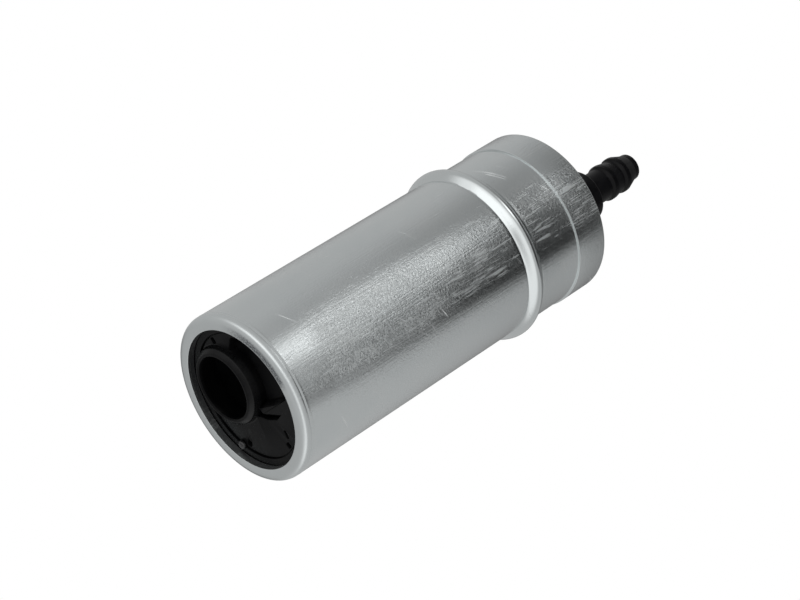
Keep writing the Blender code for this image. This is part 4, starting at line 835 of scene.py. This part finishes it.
def make_outlet_cover():
    """Skirt and sealed shoulder in the can, deck with its bosses, brush guides, and the hose barb."""
    shoulder = CAN_TOP - OUTLET_LIP_DEPTH - 0.3 * MM
    land = shoulder - SEAL_LAND_HEIGHT
    corners = [(0.0, DECK_TOP, 0.0), (DECK_RADIUS, DECK_TOP, 0.35 * MM), (DECK_RADIUS, shoulder, 0.1 * MM)]
    corners += [(COVER_RADIUS, shoulder, 0.2 * MM)] + seal_groove(shoulder - SEAL_LAND_HEIGHT / 2, True)
    corners += [(COVER_RADIUS, SKIRT_BASE, 0.2 * MM), (SKIRT_BORE, SKIRT_BASE, 0.2 * MM)]
    corners += [(SKIRT_BORE, land, 0.3 * MM), (LAND_BORE, land, 0.2 * MM), (LAND_BORE, DECK_BASE, 0.4 * MM)]
    corners += [(0.0, DECK_BASE, 0.0)]
    cover = finished("outlet_cover_shell", spun(rounded(corners), WIDE_STEPS), BARB_PLASTIC)

    middle = DECK_BASE + 0.9 * MM
    bearing = [(0.0, middle), (BEARING_RADIUS, middle), (BEARING_RADIUS, BEARING_BASE), (0.0, BEARING_BASE)]
    steps = [("UNION", spun(bearing, SMALL_STEPS))]
    for azimuth in BRUSH_AZIMUTHS:
        plan = turned_plan(oblong(*GUIDE_PLAN), polar(BRUSH_PLACE, azimuth), math.radians(azimuth))
        steps.append(("UNION", prism([(plan, BEARING_BASE + 0.3 * MM), (plan, middle + 0.1 * MM)])))
    steps.append(("UNION", spun(barb_outline(), SMALL_STEPS, VALVE_CENTRE)))
    relief = [(0.0, RELIEF_TOP, 0.0), (RELIEF_BOSS, RELIEF_TOP, 0.4 * MM), (RELIEF_BOSS, DECK_TOP, 0.5 * MM)]
    relief += [(RELIEF_BOSS + 0.8 * MM, DECK_TOP + 0.02 * MM, 0.0)]
    relief += [(RELIEF_BOSS + 0.1 * MM, DECK_TOP - 0.6 * MM, 0.0)]
    relief += [(RELIEF_BOSS, RELIEF_BASE, 0.0), (0.0, RELIEF_BASE, 0.0)]
    steps.append(("UNION", spun(rounded(relief), SMALL_STEPS, RELIEF_CENTRE)))

    for azimuth in BRUSH_AZIMUTHS:
        plan = turned_plan(oblong(*BRUSH_HOLE_PLAN), polar(BRUSH_PLACE, azimuth), math.radians(azimuth))
        steps.append(("DIFFERENCE", prism([(plan, BEARING_BASE - 0.4 * MM), (plan, DECK_BASE + 0.3 * MM)])))
    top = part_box("armature_shaft")[1].z + 0.35 * MM
    base = BEARING_BASE - 0.3 * MM
    hole = [(0.0, top), (BEARING_HOLE, top), (BEARING_HOLE, base), (0.0, base)]
    steps.append(("DIFFERENCE", spun(hole, SMALL_STEPS)))
    mouth = BARB_BORE + 0.6 * MM
    bore = [(0.0, BARB_TIP + 0.4 * MM, 0.0), (mouth, BARB_TIP + 0.4 * MM, 0.0)]
    bore += [(mouth, BARB_TIP + 0.02 * MM, 0.0), (BARB_BORE, BARB_TIP + 0.02 * MM, 0.5 * MM)]
    bore += [(BARB_BORE, CHAMBER_TOP, 0.0), (CHAMBER_RADIUS, CHAMBER_TOP, 0.3 * MM)]
    bore += [(CHAMBER_RADIUS, CHAMBER_BASE - 0.3 * MM, 0.0), (0.0, CHAMBER_BASE - 0.3 * MM, 0.0)]
    steps.append(("DIFFERENCE", spun(rounded(bore), SMALL_STEPS, VALVE_CENTRE)))
    top = RELIEF_TOP + 0.3 * MM
    base = RELIEF_BASE - 0.3 * MM
    hole = [(0.0, top), (RELIEF_BORE, top), (RELIEF_BORE, RELIEF_SEAT)]
    hole += [(RELIEF_ORIFICE, RELIEF_SEAT), (RELIEF_ORIFICE, base), (0.0, base)]
    steps.append(("DIFFERENCE", spun(hole, SMALL_STEPS, RELIEF_CENTRE)))
    for _, width, centre in TERMINALS:
        plan = turned_plan(oblong(width + 0.6 * MM, 1.4 * MM, 0.2 * MM), centre, TERMINAL_TURN)
        steps.append(("DIFFERENCE", prism([(plan, DECK_BASE - 0.4 * MM), (plan, DECK_TOP + 0.4 * MM)])))
    stands_for(carved(cover, steps), "outlet_cover")


def make_terminals():
    """Blades with a shoulder on the deck, rounded edges, a tapered lead-in and a locking hole."""
    for name, width, centre in TERMINALS:
        low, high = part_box(name)
        half = width / 2
        shoulder = DECK_TOP + 0.3 * MM
        reach = half + TERMINAL_SHOULDER
        top = shoulder + TERMINAL_SHOULDER
        outline = [(half, low.z, 0.1 * MM), (half, shoulder, 0.05 * MM), (reach, shoulder, 0.2 * MM)]
        outline += [(reach, top, 0.3 * MM), (half, top, 0.3 * MM)]
        outline += [(half, high.z - 1.6 * MM, 0.4 * MM), (half - 0.8 * MM, high.z, 0.3 * MM)]
        outline += [(-x, z, fillet) for x, z, fillet in reversed(outline)]
        shape = bmesh.new()
        corners = [shape.verts.new((x, -TERMINAL_HALF_SHEET, z)) for x, z in rounded(outline)]
        blade = shape.faces.new(corners)
        raised = bmesh.ops.extrude_face_region(shape, geom=[blade])["geom"]
        raised = [item for item in raised if isinstance(item, bmesh.types.BMVert)]
        bmesh.ops.translate(shape, verts=raised, vec=(0.0, 2 * TERMINAL_HALF_SHEET, 0.0))
        rims = [edge for edge in shape.edges
                if abs(edge.verts[0].co.y - edge.verts[1].co.y) < TERMINAL_HALF_SHEET]
        bmesh.ops.bevel(shape, geom=rims, offset=0.1 * MM, offset_type="OFFSET", affect="EDGES",
                        segments=2, profile=0.5, material=-1)
        turn = Matrix.Translation((centre[0], centre[1], 0.0)) @ Matrix.Rotation(TERMINAL_TURN, 4, "Z")
        bmesh.ops.transform(shape, matrix=turn, verts=shape.verts[:])
        piece = finished(name + "_blade", shape, TINNED)
        hole = bmesh.new()
        bmesh.ops.create_cone(hole, cap_ends=True, segments=32, radius1=TERMINAL_HOLE,
                              radius2=TERMINAL_HOLE, depth=4 * MM)
        bmesh.ops.rotate(hole, verts=hole.verts[:], matrix=Matrix.Rotation(math.pi / 2, 3, "X"))
        bmesh.ops.translate(hole, verts=hole.verts[:], vec=(0.0, 0.0, high.z - TERMINAL_HOLE_DROP))
        bmesh.ops.transform(hole, matrix=turn, verts=hole.verts[:])
        stands_for(carved(piece, [("DIFFERENCE", hole)]), name)


def make_springs():
    """Round wire coils for the springs of the brushes, the check poppet and the relief ball, each wound up
    through its spring's box.
    """
    for name, joint, travel in SPRINGS:
        low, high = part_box(name)
        middle = (low + high) / 2
        length = high.z - low.z
        radius = (high.x - low.x) / 2 - SPRING_WIRE
        coil = bpy.data.curves.new(name + "_line", "CURVE")
        coil.dimensions = "3D"
        coil.bevel_depth = SPRING_WIRE
        coil.bevel_resolution = 3
        coil.use_fill_caps = True
        line = coil.splines.new("POLY")
        line.points.add(SPRING_TURNS * SPRING_TURN_POINTS)
        for i, point in enumerate(line.points):
            angle = math.tau * i / SPRING_TURN_POINTS
            rise = (length - 2 * SPRING_WIRE) * i / (SPRING_TURNS * SPRING_TURN_POINTS)
            point.co = (middle.x + radius * math.cos(angle), middle.y + radius * math.sin(angle),
                        low.z + SPRING_WIRE + rise, 1.0)
        core = put(coil.name, coil)
        graph = bpy.context.evaluated_depsgraph_get()
        shape = bmesh.new()
        shape.from_mesh(bpy.data.meshes.new_from_object(core.evaluated_get(graph)))
        bpy.data.objects.remove(core)
        piece = finished(name + "_coil", shape, STEEL)
        stands_for(piece, name)
        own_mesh(piece)


# Studio

CAMERA_PLACE = Vector((0.05, 451.69, -263.80)) * MM
CAMERA_RIGHT = Vector((-0.53243, 0.48589, 0.69313))
CAMERA_UP = Vector((0.84647, 0.30562, 0.43598))
CAMERA_BACK = Vector((0.0, 0.81885, -0.57401))
LENS = 102.26
SENSOR_WIDTH = 36.0

# Point that the lamp and the panels face, and the floor's size and drop below the pump
AIM = Vector((0.0, 0.0, 0.055))
FLOOR_RADIUS = 1.2
FLOOR_DROP = 0.1 * MM

# Strength of the fill light, of the room that reflections show, and of the white ground
FILL_STRENGTH = 0.55
ROOM_STRENGTH = 0.55
ROOM_BELOW = 0.56
GROUND_STRENGTH = 1.0


def make_camera():
    data = bpy.data.cameras.new("camera")
    data.lens = LENS
    data.sensor_width = SENSOR_WIDTH
    data.clip_start = 0.01
    camera = put("camera", data)
    turn = Matrix((CAMERA_RIGHT, CAMERA_UP, CAMERA_BACK)).transposed()
    camera.matrix_world = Matrix.Translation(CAMERA_PLACE) @ turn.to_4x4()
    bpy.context.scene.camera = camera


def make_world():
    """White to the camera, a soft even fill, and in reflections a grey room, bright below the pump."""
    world = bpy.data.worlds.new("studio")
    bpy.context.scene.world = world
    world.use_nodes = True
    tree = world.node_tree
    tree.nodes.clear()
    path = tree.nodes.new("ShaderNodeLightPath")
    output = tree.nodes.new("ShaderNodeOutputWorld")
    shades = []
    for strength in (FILL_STRENGTH, ROOM_STRENGTH, GROUND_STRENGTH):
        shade = tree.nodes.new("ShaderNodeBackground")
        shade.inputs["Color"].default_value = (1.0, 1.0, 1.0, 1.0)
        shade.inputs["Strength"].default_value = strength
        shades.append(shade)
    x, y, z = split(tree, tree.nodes.new("ShaderNodeTexCoord").outputs["Generated"])
    slanted = math_node(tree, "MULTIPLY_ADD", x, -0.35, y)
    front = remap(tree, slanted, -0.65, -0.25)
    below = band(tree, math_node(tree, "MULTIPLY", z, -1.0), (0.14, 0.44, 0.62, 0.86))
    room = math_node(tree, "MULTIPLY", front, below)
    room = math_node(tree, "MULTIPLY_ADD", room, ROOM_BELOW, ROOM_STRENGTH)
    behind = remap(tree, y, -0.99, -0.90, 0.25, 1.0)
    tree.links.new(math_node(tree, "MULTIPLY", room, behind), shades[1].inputs["Strength"])
    seen = math_node(tree, "MAXIMUM", path.outputs["Is Glossy Ray"], path.outputs["Is Transmission Ray"])
    result = shades[0].outputs[0]
    for share, second in ((seen, shades[1]), (path.outputs["Is Camera Ray"], shades[2])):
        mix = tree.nodes.new("ShaderNodeMixShader")
        tree.links.new(share, mix.inputs[0])
        tree.links.new(result, mix.inputs[1])
        tree.links.new(second.outputs[0], mix.inputs[2])
        result = mix.outputs[0]
    tree.links.new(result, output.inputs[0])


def make_floor():
    """Pale floor under the pump that fades into the white ground and can't be seen from below."""
    shape = bmesh.new()
    bmesh.ops.create_circle(shape, cap_ends=True, segments=96, radius=FLOOR_RADIUS)
    bmesh.ops.translate(shape, verts=shape.verts[:], vec=(0.0, 0.0, -FLOOR_DROP))
    floor = put_shape("floor", shape)
    material, tree, shader = new_material("floor_paper")
    shader["Base Color"].default_value = (0.86, 0.86, 0.86, 1.0)
    shader["Roughness"].default_value = 0.6
    distance = tree.nodes.new("ShaderNodeVectorMath")
    distance.operation = "LENGTH"
    tree.links.new(object_position(tree), distance.inputs[0])
    inside = remap(tree, distance.outputs["Value"], 0.12, 0.9, 1.0, 0.0)
    above = math_node(tree, "SUBTRACT", 1.0, tree.nodes.new("ShaderNodeNewGeometry").outputs["Backfacing"])
    wire(tree, shader["Alpha"], math_node(tree, "MULTIPLY", inside, above))
    floor.data.materials.append(material)
    for ray in ("visible_shadow", "visible_diffuse", "visible_glossy", "visible_transmission"):
        setattr(floor, ray, False)


def direction(azimuth, height):
    """Unit vector at an azimuth in degrees, with a given Z component."""
    flat = math.sqrt(1.0 - height * height)
    turn = math.radians(azimuth)
    return Vector((flat * math.cos(turn), flat * math.sin(turn), height))


# Panels: name, azimuth, height, distance, roll, size, soft edge and shade
PANELS = (("bright_panel", 71.5, 0.352, 0.153, -60.0, (0.018, 0.024), 0.053, 5.3),
          ("dark_panel", 106.4, 0.741, 0.296, -14.9, (0.395, 0.195), 0.060, 0.02),
          ("outlet_panel", 229.8, 0.919, 0.247, -29.3, (0.666, 0.227), 0.128, 0.15),
          ("strip_panel", 50.0, -0.68, 0.50, 0.0, (0.50, 0.26), 0.08, 1.5),
          ("side_panel", 35.6, 0.800, 0.394, -50.5, (0.363, 0.240), 0.150, 0.257))


def aim(item, towards, distance):
    item.location = AIM + towards * distance
    item.rotation_euler = towards.to_track_quat("Z", "Y").to_euler()


def make_lamp(name, towards, distance, size, power):
    data = bpy.data.lights.new(name, "AREA")
    data.shape = "RECTANGLE"
    data.size, data.size_y = size
    data.energy = power
    lamp = put(name, data)
    aim(lamp, towards, distance)
    lamp.visible_glossy = False


def make_panel(name, azimuth, height, distance, roll, size, edge, shade):
    """Soft-edged studio panel that only reflections see, as is set up beside bright metal."""
    shape = bmesh.new()
    bmesh.ops.create_grid(shape, x_segments=1, y_segments=1, size=1.0)
    half_x, half_y = size[0] / 2, size[1] / 2
    bmesh.ops.scale(shape, verts=shape.verts[:], vec=(half_x + edge, half_y + edge, 1.0))
    panel = put_shape(name, shape)
    towards = direction(azimuth, height)
    turn = math.radians(azimuth)
    across = Vector((-math.sin(turn), math.cos(turn), 0.0))
    along = towards.cross(across)
    spin = Matrix.Rotation(math.radians(roll), 3, towards)
    frame_turn = Matrix((spin @ across, spin @ along, towards)).transposed()
    panel.matrix_world = Matrix.Translation(AIM + towards * distance) @ frame_turn.to_4x4()
    material = bpy.data.materials.new(name + "_face")
    material.use_nodes = True
    tree = material.node_tree
    tree.nodes.clear()
    x, y, _ = split(tree, object_position(tree))
    masks = []
    for value, half in ((x, half_x), (y, half_y)):
        away = math_node(tree, "ABSOLUTE", value)
        masks.append(remap(tree, away, half - edge, half + edge, 1.0, 0.0))
    glow = tree.nodes.new("ShaderNodeEmission")
    glow.inputs["Color"].default_value = (1.0, 1.0, 1.0, 1.0)
    glow.inputs["Strength"].default_value = shade
    clear = tree.nodes.new("ShaderNodeBsdfTransparent")
    mix = tree.nodes.new("ShaderNodeMixShader")
    tree.links.new(math_node(tree, "MULTIPLY", masks[0], masks[1]), mix.inputs[0])
    tree.links.new(clear.outputs[0], mix.inputs[1])
    tree.links.new(glow.outputs[0], mix.inputs[2])
    output = tree.nodes.new("ShaderNodeOutputMaterial")
    tree.links.new(mix.outputs[0], output.inputs[0])
    panel.data.materials.append(material)
    for ray in ("visible_camera", "visible_shadow", "visible_diffuse", "visible_transmission"):
        setattr(panel, ray, False)


def make_lights():
    make_lamp("key_softbox", direction(62, 0.40), 0.8, (0.45, 0.35), 4.0)
    for panel in PANELS:
        make_panel(*panel)


bpy.context.scene.view_settings.view_transform = "Standard"
make_camera()
make_world()
make_floor()
make_lights()
dress_nodes()
make_can()
make_inlet_cover()
make_stud()
make_outlet_cover()
make_terminals()
make_springs()
